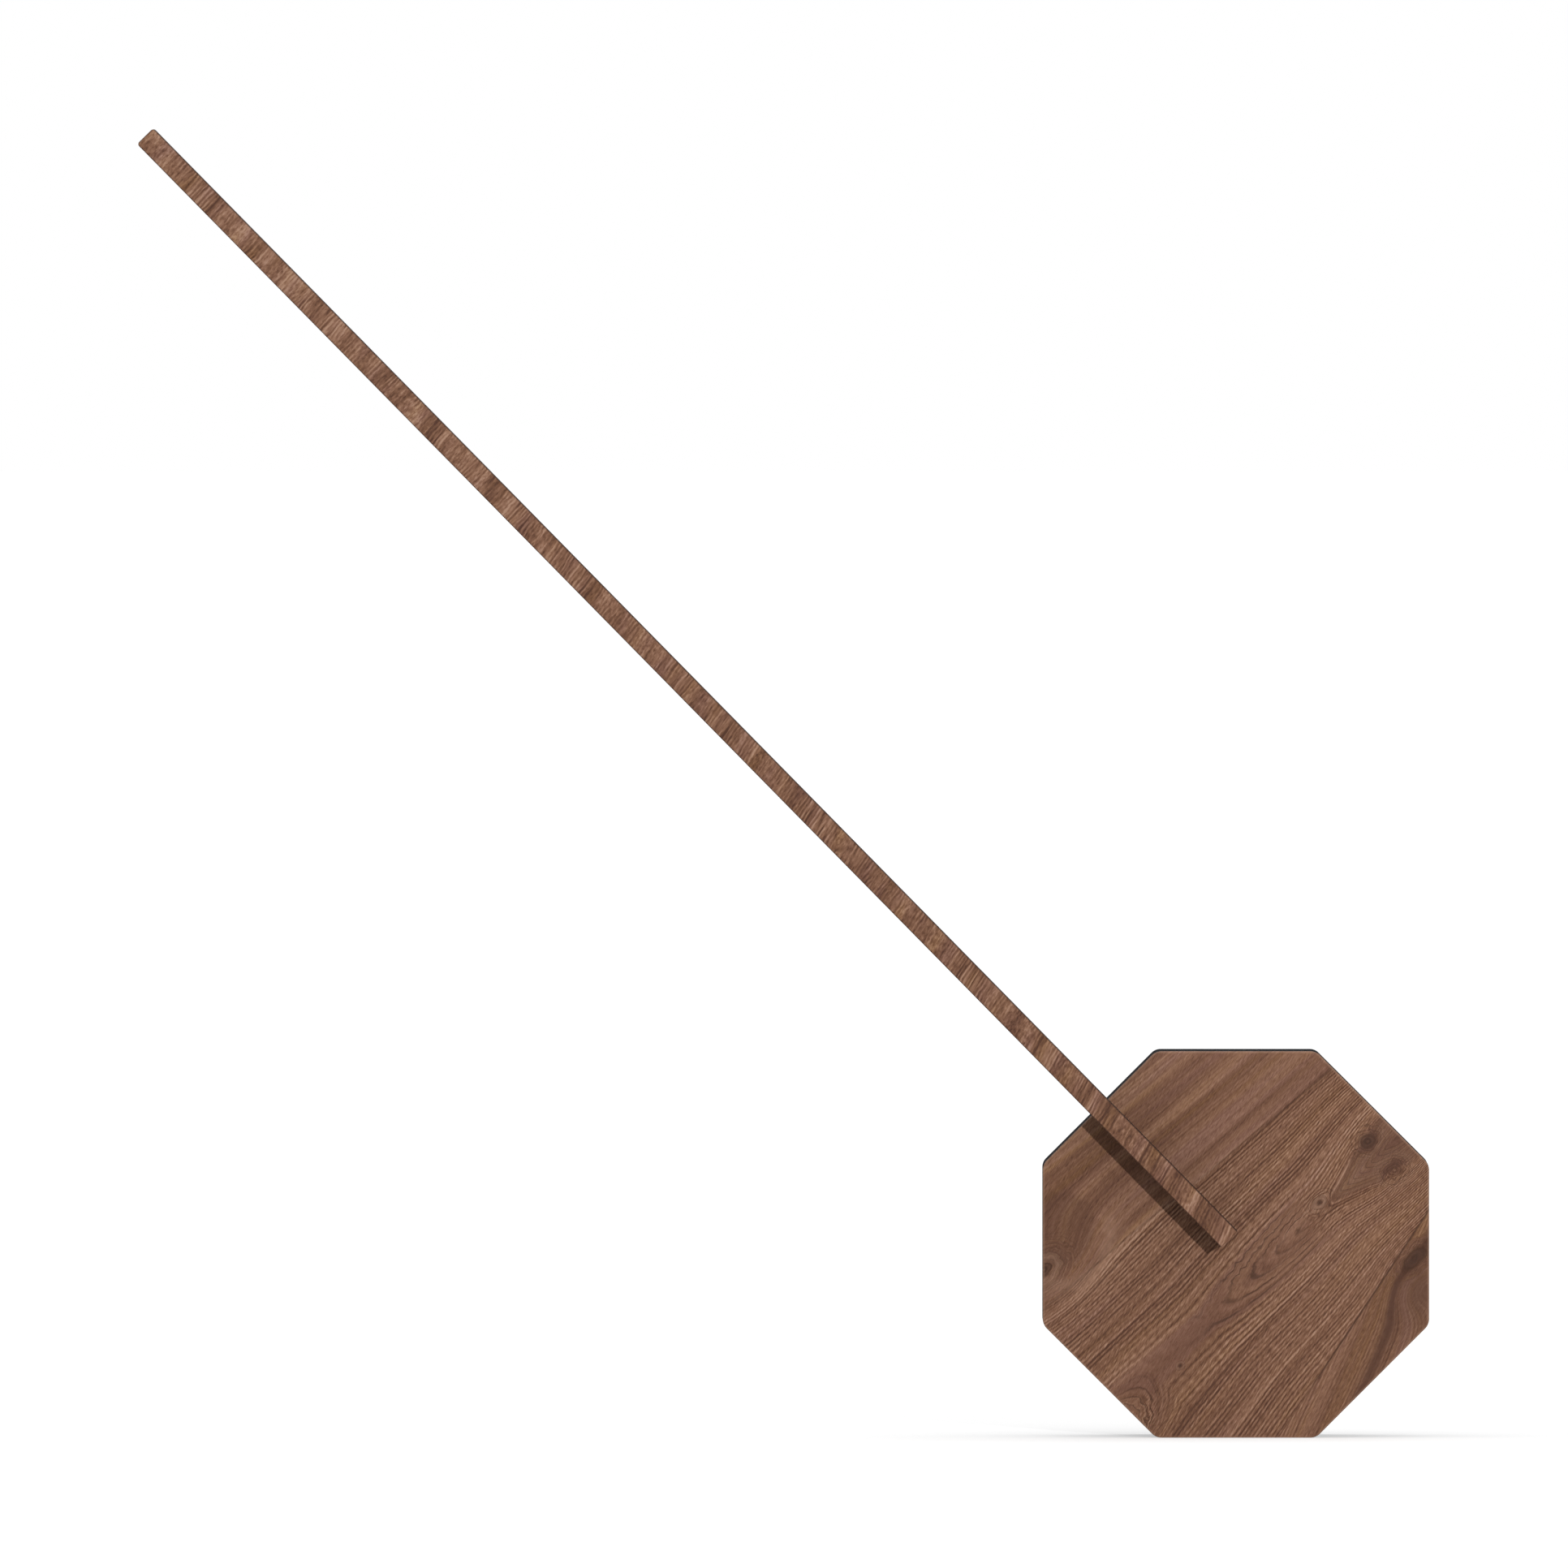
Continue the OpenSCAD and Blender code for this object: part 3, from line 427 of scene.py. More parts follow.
class PanelFigure:
    """Growth rings, veins and knots of the front panel's walnut.

    Places and sizes are in millimetres from the middle of the panel's face: first along the grain, which
    rises to the right, and then across it. A hill is a centre, a reach along, a width across and a height.
    """

    SWAY_CELL = (60.0, 34.0, 60.0)
    SWAY = 3.0
    RAGGED_SCALE = 0.3
    CURL_SCALE = 0.11
    SWELLS = (
        ((-47.6, 35.0), 15.0, 11.0, 11.0),
        ((38.0, -42.5), 11.0, 7.0, -8.0),
    )
    SWIRL = ((50.2, -16.0), 5.0, 4.0, 12.0)
    FAN = 0.0015
    LOWER_FAN = 0.002
    LOWER_SIDE = (8.0, 24.0)

    # The flame lies along the middle, opens at the upper right and ends at the lower left in a ragged tail.
    FLAME = (24.0, -10.3)
    FLAME_STRETCH = 6.4
    FLAME_RUN = 46.0
    FLAME_ROUND = 0.3
    FLAME_RIM = (7.4, 9.2)
    FLAME_END = (18.0, 28.0)
    FLAME_RAGGED = ((-6.0, FLAME[1]), 26.0, 8.0, 3.0)
    FLAME_SIDES = (-4.0, 4.0)
    OPENING = (26.0, 62.0)
    OPENING_LIFT = 13.0
    OPENING_UPPER_LOSS = 3.0
    OPENING_WIDTH = 17.89
    WEDGE = (28.0, 33.0)
    WEDGE_EDGE = (-0.8, 0.8)
    TAIL = (-46.0, -5.0)
    TAIL_LENGTH = 16.0
    TAIL_LIFT = 0.6
    TAIL_WIDTH = 6.32
    TAIL_LOOP = ((-55.0, FLAME[1] + TAIL[1]), 7.0, 7.0, 1.0)

    # A second board is glued on at the lower right, and the upper left corner is smooth.
    GLUE_LINE = 45.3
    GLUE_SLOPE = 0.24
    GLUE_EDGE = (-0.2, 0.2)
    GLUE_START = (-20.0, -4.0)
    LOWER_SLOPE = 0.42
    LOWER_SWAY = 2.0
    LOWER_SWELL = ((32.0, -48.5), 9.0, 7.0, -9.0)
    CORNER_LINE = 23.0
    CORNER_SLOPE = 0.06
    CORNER_EDGE = (22.5, 24.0)

    # Shares of the ridges that are lost on the smooth stretches.
    CORNER_CALM = 0.78
    LOWER_CALM = 0.55
    INSIDE_CALM = 0.8
    WEDGE_CALM = 0.85
    QUIET = (
        ((-30.0, -12.0), 16.0, 5.0, 0.7),
        ((-50.0, 30.0), 16.0, 10.0, 0.2),
        ((31.0, -46.0), 9.0, 7.0, 0.8),
    )

    # Dark lines, pale seams and gloomy patches. The bulge and the side gloom are placed level and upright.
    LINE_EDGE = (0.1, 0.5)
    GLUE_DARK = 0.7
    BORDER_DARK = 0.35
    CONTOUR_PITCH = 1.55
    CONTOUR_START = (-32.0, -18.0)
    CONTOUR_DARK = 0.75
    VEIN_PITCH = 1.2
    VEIN_SWAY = 1.5
    VEIN_DARK = 0.45
    SEAM_RING = 0.5
    SEAM_EDGE = (0.1, 0.4)
    SEAM_START = (31.0, 34.0)
    SEAM_END = (40.0, 46.0)
    SEAM_PALE = 0.8
    BULGE = ((-54.0, 5.0), 11.0, 13.0, 1.0)
    BULGE_EDGE = (0.32, 0.55)
    BULGE_GLOOM = 0.4
    BULGE_HALO = 0.16
    BULGE_HALO_WIDTH = 0.09
    BULGE_HALO_TOP = (4.0, 12.0)
    BULGE_PALE = 0.3
    LOWER_VEIN = -58.9
    LOWER_VEIN_WIDTH = 2.1
    LOWER_VEIN_GLOOM = 0.9
    LOWER_GLOOM = ((35.0, -50.0), 9.0, 7.0, 0.5)
    SIDE_GLOOM = ((56.0, -20.0), 9.0, 13.0, 0.4)
    WEDGE_GLOOM = 0.4

    # Knots: centre, reach along, width across and spread of the bent rings, then how pale the halo is, how
    # dark the middle and how strong the rings.
    KNOTS = (
        ((51.7, -4.3), 2.6, 2.2, 4.8, 0.0, 1.0, 0.6),
        ((27.9, -8.2), 1.0, 0.7, 4.0, 0.4, 1.0, 0.4),
        ((-49.2, 34.9), 2.8, 1.9, 8.0, 0.3, 1.0, 0.35),
        ((38.0, -41.0), 4.6, 2.2, 5.0, 0.0, 1.0, 0.2),
        ((-38.3, -15.7), 0.7, 0.5, 1.5, 0.2, 1.0, 0.0),
        ((51.8, -16.6), 3.0, 2.6, 4.6, 0.1, 0.0, 0.55),
    )
    KNOT_PITCH = 0.95
    KNOT_GLOOM = 0.25
    KNOT_RIDGES = 0.6

    WIDE_CAST_CELL = (90.0, 12.0, 40.0)
    NARROW_CAST_CELL = (70.0, 2.2, 20.0)

    def __init__(self, finish, grain):
        here = finish.place(PANEL_CENTRE, -grain)
        self.finish = finish
        self.along, self.depth, self.across = finish.parts(here)
        self.x, _, self.z = finish.parts(finish.place(PANEL_CENTRE))
        self.sway = finish.grain((self.along, self.across, self.depth), self.SWAY_CELL, detail=1.0)
        self.ragged = finish.noise(here, self.RAGGED_SCALE)
        self.curl = finish.noise(here, self.CURL_SCALE, 1.0)
        self.lay_flame()
        self.lay_lower_board()
        self.lay_ridges()
        self.lay_dark_lines()
        self.lay_patches()
        for knot in self.KNOTS:
            self.lay_knot(*knot)

    def hill(self, *shape):
        """A hill placed along and across the grain."""
        return swelling(self.along, self.across, *shape)

    def lay_flame(self):
        """Rings of the flame, its calm inside, and the wedge between its opened sides."""
        finish = self.finish
        fan = self.FAN + finish.step(-self.across, *self.LOWER_SIDE) * self.LOWER_FAN
        off = self.across * (1 + self.along * fan) + self.sway * self.SWAY - self.FLAME[1]
        for swell in self.SWELLS:
            off = off + self.hill(*swell)
        off = off + self.hill(*self.SWIRL) * self.curl + self.hill(*self.FLAME_RAGGED) * self.ragged
        self.above = finish.step(off, *self.FLAME_SIDES)
        run = (self.FLAME[0] - self.along).maths("MAXIMUM", 0.0).maths("MINIMUM", self.FLAME_RUN)
        run = run / self.FLAME_STRETCH
        self.core = (off * off + run * run + self.FLAME_ROUND).maths("SQRT")
        lift = self.OPENING_LIFT - self.above * self.OPENING_UPPER_LOSS
        heart = finish.step(self.along, *self.OPENING) * lift * bell(off, self.OPENING_WIDTH)
        tail = (self.TAIL[0] - self.along).maths("MAXIMUM", 0.0).maths("MINIMUM", self.TAIL_LENGTH)
        tail = tail * self.TAIL_LIFT * bell(off - self.TAIL[1], self.TAIL_WIDTH)
        self.tail = tail * (1.0 + self.ragged * 0.7)
        self.ring = self.core - heart - self.tail
        self.inside = finish.fall(self.core, *self.FLAME_RIM) * finish.fall(self.along, *self.FLAME_END)
        self.wedge = finish.fall(self.ring, *self.WEDGE_EDGE) * finish.step(self.along, *self.WEDGE)

    def lay_lower_board(self):
        """Steeper rings of the second board, below the glue line."""
        self.glue = self.across + self.GLUE_LINE - self.along * self.GLUE_SLOPE
        self.below = self.finish.step(-self.glue, *self.GLUE_EDGE)
        slope = self.across - self.along * self.LOWER_SLOPE
        self.steep = slope + self.sway * self.LOWER_SWAY + self.hill(*self.LOWER_SWELL)
        self.ring = self.ring + (self.steep - self.ring) * self.below

    def lay_ridges(self):
        """How much of the brushed ridges is left at each place."""
        self.border = self.across + self.along * self.CORNER_SLOPE + self.sway * self.SWAY
        self.corner = self.finish.step(self.border, *self.CORNER_EDGE)
        boards = 1.0 - self.corner * self.CORNER_CALM - self.below * self.LOWER_CALM
        self.ridged = boards * (1.0 - self.inside * self.INSIDE_CALM - self.wedge * self.WEDGE_CALM)
        for quiet in self.QUIET:
            self.ridged = self.ridged * (1 - self.hill(*quiet))

    def lay_dark_lines(self):
        """The glue line, the smooth corner's border, the flame's contours and the wedge's veins."""
        finish = self.finish
        glue = finish.line(self.glue, *self.LINE_EDGE) * finish.step(self.along, *self.GLUE_START)
        border = finish.line(self.border - self.CORNER_LINE, *self.LINE_EDGE)
        rim = self.inside * finish.step(self.along, *self.CONTOUR_START)
        rim = rim * (0.5 + finish.step(self.curl, -0.1, 0.1) * 0.5) + self.hill(*self.TAIL_LOOP)
        sway = self.sway * self.VEIN_SWAY
        contour = (self.core - self.tail) / self.CONTOUR_PITCH + sway + self.ragged * 0.5
        vein = self.ring / self.VEIN_PITCH + sway + self.ragged * 0.6
        self.dark = most(
            glue * self.GLUE_DARK,
            border * self.BORDER_DARK,
            finish.contours(contour, 0.03, 0.16) * rim * self.CONTOUR_DARK,
            finish.contours(vein, 0.02, 0.2) * self.wedge * self.VEIN_DARK,
        )

    def lay_patches(self):
        """Pale seams and gloomy patches."""
        finish = self.finish
        seam = finish.line(self.ring - self.SEAM_RING, *self.SEAM_EDGE) * self.above
        seam = seam * finish.step(self.along, *self.SEAM_START) * finish.fall(self.along, *self.SEAM_END)
        bulge = swelling(self.x, self.z, *self.BULGE) + self.ragged * 0.2
        halo = bell(bulge - self.BULGE_HALO, self.BULGE_HALO_WIDTH)
        halo = halo * finish.fall(self.z, *self.BULGE_HALO_TOP)
        self.light = most(seam * self.SEAM_PALE, halo * self.BULGE_PALE)
        vein = bell(self.steep - self.LOWER_VEIN + self.ragged * 2.0, self.LOWER_VEIN_WIDTH)
        lower = vein * self.LOWER_VEIN_GLOOM + self.hill(*self.LOWER_GLOOM)
        lower = lower + swelling(self.x, self.z, *self.SIDE_GLOOM)
        upper = finish.step(bulge, *self.BULGE_EDGE) * self.BULGE_GLOOM + self.wedge * self.WEDGE_GLOOM
        self.gloom = lower * self.below + upper

    def lay_knot(self, centre, reach, width, spread, pale, core, ringed):
        """A knot with a dark middle and a pale halo, and the rings bent round it."""
        finish = self.finish
        ahead = (self.along - centre[0]) * (width / reach)
        aside = self.across - centre[1]
        away = (ahead * ahead + aside * aside).maths("SQRT") + self.ragged * (width * 1.3)
        near = finish.fall(away, spread * 0.3, spread)
        self.ring = self.ring + (away - self.ring) * near
        self.ridged = most(self.ridged, near * self.KNOT_RIDGES)
        self.light = most(self.light, bell(away - width * 1.9, width * 0.5) * pale)
        swirl = 0.8 + (away * (math.tau / (width * 0.8))).maths("SINE") * 0.2
        middle = finish.fall(away, width * 0.7, width * 1.3) * swirl
        lines = finish.contours(away / self.KNOT_PITCH + self.sway + self.ragged * 0.4, 0.04, 0.2)
        lines = lines * finish.fall(away, spread * 0.7, spread * 1.6)
        self.dark = most(self.dark, middle * core, lines * ringed)
        self.gloom = self.gloom + near * self.KNOT_GLOOM

    def cast(self):
        """Hue of the wood: cool above zero and warm below it."""
        rings = (self.along, self.ring, self.depth)
        wide = self.finish.grain(rings, self.WIDE_CAST_CELL, shift=7.0, detail=1.0)
        narrow = self.finish.grain(rings, self.NARROW_CAST_CELL, shift=11.0)
        smooth = self.corner * 0.03 + self.inside * 0.07 + self.wedge * 0.12
        return (wide * 0.7 + narrow * 0.8 + smooth) * (0.85 - self.ridged * 0.4)


# How strongly the painted highlight on the panel's front edge lightens the walnut.
PANEL_EDGE_HIGHLIGHT = 0.45
PANEL_DARKEST = 0.95
PANEL_UPPER_SHIFT = 9.0


def panel_edge_highlight(finish, sizes, x, depth, z):
    """1 on the softened front edge of the octagon, where a pale highlight is painted on the wood."""
    slant = math.sqrt(0.5)
    flats = (x, z, (x + z) * slant, (x - z) * slant)
    edge = most(*(flat.maths("ABSOLUTE") for flat in flats))
    half = sizes.across / MM / 2
    arris = sizes.arris / MM
    outer = finish.step(edge, half - 1.5 * arris, half - 0.3 * arris)
    return outer * finish.fall(depth, 0.5 * arris, 2 * arris)


def panel_walnut(scene):
    """Walnut of the front panel, with a flame figure, knots, and a smooth upper left corner."""
    colours = scene.desk_lamp_finishes
    sizes = scene.desk_lamp_panel
    made, finish = material("walnut_face")
    figure = PanelFigure(finish, sizes.grain)
    depth = figure.depth + figure.above * PANEL_UPPER_SHIFT
    tone, height = ridged_tone(finish, figure.along, figure.across, figure.ring, depth, figure.ridged)
    tint = walnut_tint(finish, colours, tone, figure.cast())
    tint = finish.mix(figure.gloom, tint, colours.groove)
    tint = finish.mix(figure.light, tint, colours.crest)
    tint = finish.mix(figure.dark * PANEL_DARKEST, tint, colours.knot)
    # Painted highlight: the softened front edge of the octagon is lightened toward the palest walnut tone.
    edge_highlight = panel_edge_highlight(finish, sizes, figure.x, figure.depth, figure.z)
    tint = finish.mix(edge_highlight * PANEL_EDGE_HIGHLIGHT, tint, colours.crest)
    walnut_surface(finish, tint, tone, height - figure.dark * 0.4)
    return made


# Grain of the arm's strip in millimetres: lengths across the arm, along it and into the wood. The sway's
# are along the arm, across it and into the wood.
ARM_BAND_CELL = (25.0, 7.0, 20.0)
ARM_STRIPE_CELL = (14.0, 1.5, 8.0)
ARM_LINE_CELL = (18.0, 1.3, 8.0)
ARM_LUMP_CELL = (1.6, 0.8, 2.0)
ARM_PORE_CELL = (1.6, 0.4, 1.2)
ARM_BREAK_CELL = (30.0, 18.0, 20.0)
ARM_WOBBLE_CELL = (7.0, 5.0, 20.0)
ARM_SWELL_CELL = (6.0, 3.0, 20.0)
ARM_CAST_CELL = (20.0, 6.0, 20.0)
ARM_CAST_START = 100.0
ARM_SWAY_CELL = (35.0, 40.0, 20.0)
ARM_SWAY = 5.0
ARM_SLANT = 0.3
ARM_SLANT_LOSS = 0.0006
ARM_RING_PITCH = 1.2
ARM_TONE = 0.465
ARM_TONE_RISE = 0.00026
ARM_CROSS_LINE = 24.0
# Widths of the painted shade along the strip's edges, and how strongly it darkens them.
ARM_EDGE = (0.42, 0.05)
ARM_EDGE_SHADE = 0.8


def arm_edge_shade(finish, sizes, reach, over):
    """1 along the strip's two long edges and at its tip, where shade is painted on the walnut."""
    wide, thin = ARM_EDGE
    half = sizes.width / MM / 2
    tip = sizes.reach / MM
    sides = finish.step(over.maths("ABSOLUTE"), half - wide, half - thin)
    return most(sides, finish.step(reach, tip - wide, tip - thin))


def arm_walnut(scene):
    """Walnut of the arm's strip, whose grain runs across the arm in short broken stripes."""
    colours = scene.desk_lamp_finishes
    sizes = scene.desk_lamp_arm
    made, finish = material("walnut_strip")
    reach, depth, over = finish.parts(finish.place(PANEL_PIVOT, -sizes.heading))
    sway = finish.grain((reach, over, depth), ARM_SWAY_CELL, detail=1.0)
    ring = reach + over * (ARM_SLANT - reach * ARM_SLANT_LOSS) + sway * ARM_SWAY
    rings = (over, ring, depth)
    band = finish.grain(rings, ARM_BAND_CELL)
    stripe = finish.grain(rings, ARM_STRIPE_CELL, rough=0.6)
    line = finish.step(finish.grain(rings, ARM_LINE_CELL, shift=9.0, detail=1.0), 0.1, 0.2)
    lump = finish.grain(rings, ARM_LUMP_CELL, rough=0.6)
    pits = finish.step(finish.grain(rings, ARM_PORE_CELL, detail=1.0), 0.08, 0.2)
    broken = finish.step(finish.grain(rings, ARM_BREAK_CELL, shift=4.0), -0.12, 0.12)
    wobble = finish.grain(rings, ARM_WOBBLE_CELL)
    swell = finish.step(finish.grain(rings, ARM_SWELL_CELL, shift=3.0), -0.14, 0.14)
    wave = ((ring / ARM_RING_PITCH + wobble * 1.8) * math.tau).maths("SINE") * (0.2 + swell * 0.8)
    lines = line * (1 - broken)
    # A darker, slightly sunken line across the strip, 24 mm along the grain from the pivot.
    cross_line = finish.line(ring - ARM_CROSS_LINE, 0.1, 0.6)
    tone = ARM_TONE + reach * ARM_TONE_RISE + band + stripe * (1.5 - broken * 0.8)
    tone = tone + lump * (0.3 + broken * 1.1) + wave * (0.26 - broken * 0.18)
    tone = tone - pits * 0.2 - cross_line * 0.4 - lines * 0.34
    cast = finish.grain((over + ARM_CAST_START, ring, depth), ARM_CAST_CELL, detail=1.0)
    tint = walnut_tint(finish, colours, tone, cast * 0.7 + 0.02)
    # Painted shade: the strip's long edges and tip are darkened toward the knot colour.
    tint = finish.mix(arm_edge_shade(finish, sizes, reach, over) * ARM_EDGE_SHADE, tint, colours.knot)
    height = wave * 0.4 + stripe + lump * 0.6 - pits * 0.3 - cross_line - lines * 0.3
    walnut_surface(finish, tint, tone, height)
    return made


def shaded(tint, gain, lift=0.0):
    """A tint made lighter or darker, up to white."""
    return tuple(min(1.0, part * gain + lift) for part in tint)


def moulded(name, tint, rough, shine, grain=2.2, relief=0.04 * MM):
    """Moulded plastic with a fine spark-eroded grain."""
    made, finish = material(name)
    here = finish.place()
    cloud = finish.noise(here, 0.05, 2.0)
    speck = finish.noise(here, grain, 3.0, 0.6)
    pale = shaded(tint, 1.35, 0.004)
    finish.surface(
        {
            "Base Color": finish.mix(0.5 + speck * 0.9 + cloud * 0.5, tint, pale),
            "Roughness": rough + speck * 0.16 + cloud * 0.1,
            "Specular IOR Level": shine,
            "Normal": finish.bump(speck, 0.35, relief),
        }
    )
    return made


BRUSHED_LENGTH = 40.0


def brushed(name, tint, rough, lines=3.0, metallic=1.0, shine=0.5, turn=0.0):
    """Metal with fine lines along one direction, a few to the millimetre."""
    made, finish = material(name)
    here = finish.place(PIVOT, turn)
    along, across, up = finish.parts(here)
    scratch = finish.vector(along / BRUSHED_LENGTH, across * lines, up * lines)
    brush = finish.noise(scratch, detail=3.0)
    cloud = finish.noise(here, 0.08, 2.0)
    pale = shaded(tint, 1.25, 0.01)
    finish.surface(
        {
            "Base Color": finish.mix(0.5 + brush * 1.1 + cloud * 0.4, tint, pale),
            "Metallic": metallic,
            "Roughness": rough + brush * 0.22 + cloud * 0.08,
            "Specular IOR Level": shine,
            "Normal": finish.bump(brush, 0.25, 0.02 * MM),
        }
    )
    return made


def circuit(name, tint, track):
    """Circuit board with tracks that show through its lacquer."""
    made, finish = material(name)
    here = finish.place()
    cells = finish.node(
        "ShaderNodeTexBrick",
        {"offset": 0.37},
        {"Vector": here, "Color1": (0, 0, 0), "Color2": (0, 0, 0), "Mortar": (1, 1, 1), "Scale": 0.22,
         "Mortar Size": 0.035, "Brick Width": 0.9, "Row Height": 0.3},
        "Fac",
    )
    patches = finish.step(finish.noise(here, 0.16, 1.0), -0.02, 0.05)
    tracks = cells * patches
    finish.surface(
        {
            "Base Color": finish.mix(tracks * 0.7, tint, track),
            "Roughness": 0.38 + finish.noise(here, 0.9) * 0.15,
            "Normal": finish.bump(tracks, 0.3, 0.04 * MM),
        }
    )
    return made


def even(name, tint, rough, scale=1.0, spread=0.2, extra=None):
    """A plain finish with a slight mottle, for small pieces."""
    made, finish = material(name)
    here = finish.place()
    mottle = finish.noise(here, scale)
    deep = shaded(tint, 1 - spread)
    pale = shaded(tint, 1 + spread)
    finish.surface(
        {
            "Base Color": finish.mix(0.5 + mottle * 1.6, deep, pale),
            "Roughness": rough + mottle * 0.2,
            "Normal": finish.bump(mottle, 0.15, 0.05 * MM),
            **(extra or {}),
        }
    )
    return made


def dress(made, *names):
    """Gives CAD nodes one material."""
    for name in names:
        mesh = frame["nodes"][name].data
        mesh.materials.clear()
        mesh.materials.append(made)


SHELL_EDGE = 0.4 * MM
CHANNEL_EDGE = 0.25 * MM
SOFTEN_STEPS = 2
WELD_DISTANCE = 0.01 * MM
SOFTEN_ABOVE = math.radians(40)
SMOOTH_BELOW = math.radians(35)
SQUARE_ABOVE = math.radians(60)
ARRIS_STEPS = 3
ROUND_STEPS = 6


def soften(width, *names):
    """Merges a CAD node's loose triangles and rounds its edges, in modifiers."""
    for name in names:
        node = frame["nodes"][name]
        weld = node.modifiers.new("merge", "WELD")
        weld.merge_threshold = WELD_DISTANCE
        bevel = node.modifiers.new("edges", "BEVEL")
        bevel.width = width
        bevel.segments = SOFTEN_STEPS
        bevel.limit_method = "ANGLE"
        bevel.angle_limit = SOFTEN_ABOVE
        bevel.use_clamp_overlap = True


def finished_piece(name, bm, made, body, slot, *nodes):
    """Turns a bmesh into a piece that rides on a body and stands for CAD nodes."""
    bmesh.ops.recalc_face_normals(bm, faces=bm.faces[:])
    for edge in bm.edges:
        edge.smooth = edge.calc_face_angle(0.0) < SMOOTH_BELOW
    for face in bm.faces:
        face.smooth = True
    mesh = bpy.data.meshes.new(name)
    bm.to_mesh(mesh)
    bm.free()
    mesh.materials.append(made)
    piece = bpy.data.objects.new(name, mesh)
    bpy.context.scene.collection.objects.link(piece)
    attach(piece, body)
    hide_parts(*nodes)
    return piece


def bevel_edges(bm, edges, width, segments):
    """Rounds edges by a width."""
    bmesh.ops.bevel(
        bm, geom=edges, offset=width, offset_type="OFFSET", affect="EDGES", segments=segments, profile=0.5,
        material=-1, clamp_overlap=True
    )


WHITE = (1.0, 1.0, 1.0)
SENSOR_WIDTH = 36.0
VIEW_DEPTH = 100.0
KEY_TRAVEL = (-0.207, 0.971, -0.119)
FLOOR_HALF = 30.0
FLOOR_PAINT = ((0.8, 0.8, 0.8), (0.82, 0.82, 0.82))
FLOOR_CLOUD = 0.004


class DESKLAMP_OT_stage(Operator):
    """Make the camera, the lights, the world and the floor"""

    bl_idname = "desk_lamp.stage"
    bl_label = "Stage"

    def execute(self, context):
        stage = context.scene.desk_lamp_stage
        context.scene.view_settings.view_transform = "Standard"
        self.camera(context.scene, stage)
        self.lights(context.scene, stage)
        self.world(context.scene, stage)
        self.floor(context.scene, stage)
        return {"FINISHED"}

    @staticmethod
    def camera(scene, stage):
        data = bpy.data.cameras.new("camera")
        data.sensor_width = SENSOR_WIDTH
        data.lens = SENSOR_WIDTH * stage.distance / stage.width
        data.clip_end = VIEW_DEPTH
        camera = bpy.data.objects.new("camera", data)
        scene.collection.objects.link(camera)
        aim = Vector((stage.aim_x, PANEL_CENTRE[1], stage.aim_z))
        back = Vector((0.0, -math.cos(stage.elevation), math.sin(stage.elevation)))
        camera.location = aim + back * stage.distance
        camera.rotation_euler = (math.pi / 2 - stage.elevation, 0.0, 0.0)
        scene.camera = camera

    @staticmethod
    def lights(scene, stage):
        key = bpy.data.lights.new("key", "SUN")
        key.energy = stage.key
        key.angle = stage.key_spread
        key_light = bpy.data.objects.new("key", key)
        key_light.rotation_euler = Vector(KEY_TRAVEL).to_track_quat("-Z", "Y").to_euler()
        top = bpy.data.lights.new("top", "SUN")
        top.energy = stage.top
        top.angle = stage.top_spread
        top_light = bpy.data.objects.new("top", top)
        for light in (key_light, top_light):
            scene.collection.objects.link(light)

    @staticmethod
    def seen(finish):
        """1 for the rays that show a surface to the camera, directly or in a reflection."""
        path = finish.node("ShaderNodeLightPath", {}, {}, "Is Camera Ray")
        outputs = path.socket.node.outputs
        glossy = Wire(finish, outputs["Is Glossy Ray"])
        clear = Wire(finish, outputs["Is Transmission Ray"])
        return most(path, glossy, clear)

    def world(self, scene, stage):
        world = bpy.data.worlds.new("studio")
        world.use_nodes = True
        finish = Finish(world.node_tree)
        strength = stage.sky + self.seen(finish) * (1 - stage.sky)
        sky = finish.node("ShaderNodeBackground", {}, {"Color": WHITE, "Strength": strength})
        finish.node("ShaderNodeOutputWorld", {}, {"Surface": sky})
        scene.world = world

    def floor(self, scene, stage):
        made, finish = material("studio_floor")
        paint = finish.mix(0.5 + finish.noise(finish.place(), FLOOR_CLOUD), *FLOOR_PAINT)
        matt = finish.node("ShaderNodeBsdfDiffuse", {}, {"Color": paint})
        white = finish.node("ShaderNodeEmission", {}, {"Color": WHITE, "Strength": stage.floor_white})
        share = self.seen(finish) * (1 - stage.floor_shadow)
        mixed = finish.node("ShaderNodeMixShader", {}, {0: share, 1: matt, 2: white})
        finish.node("ShaderNodeOutputMaterial", {}, {"Surface": mixed})
        bm = bmesh.new()
        bmesh.ops.create_grid(bm, x_segments=1, y_segments=1, size=FLOOR_HALF)
        mesh = bpy.data.meshes.new("floor")
        bm.to_mesh(mesh)
        bm.free()
        mesh.materials.append(made)
        floor = bpy.data.objects.new("floor", mesh)
        scene.collection.objects.link(floor)


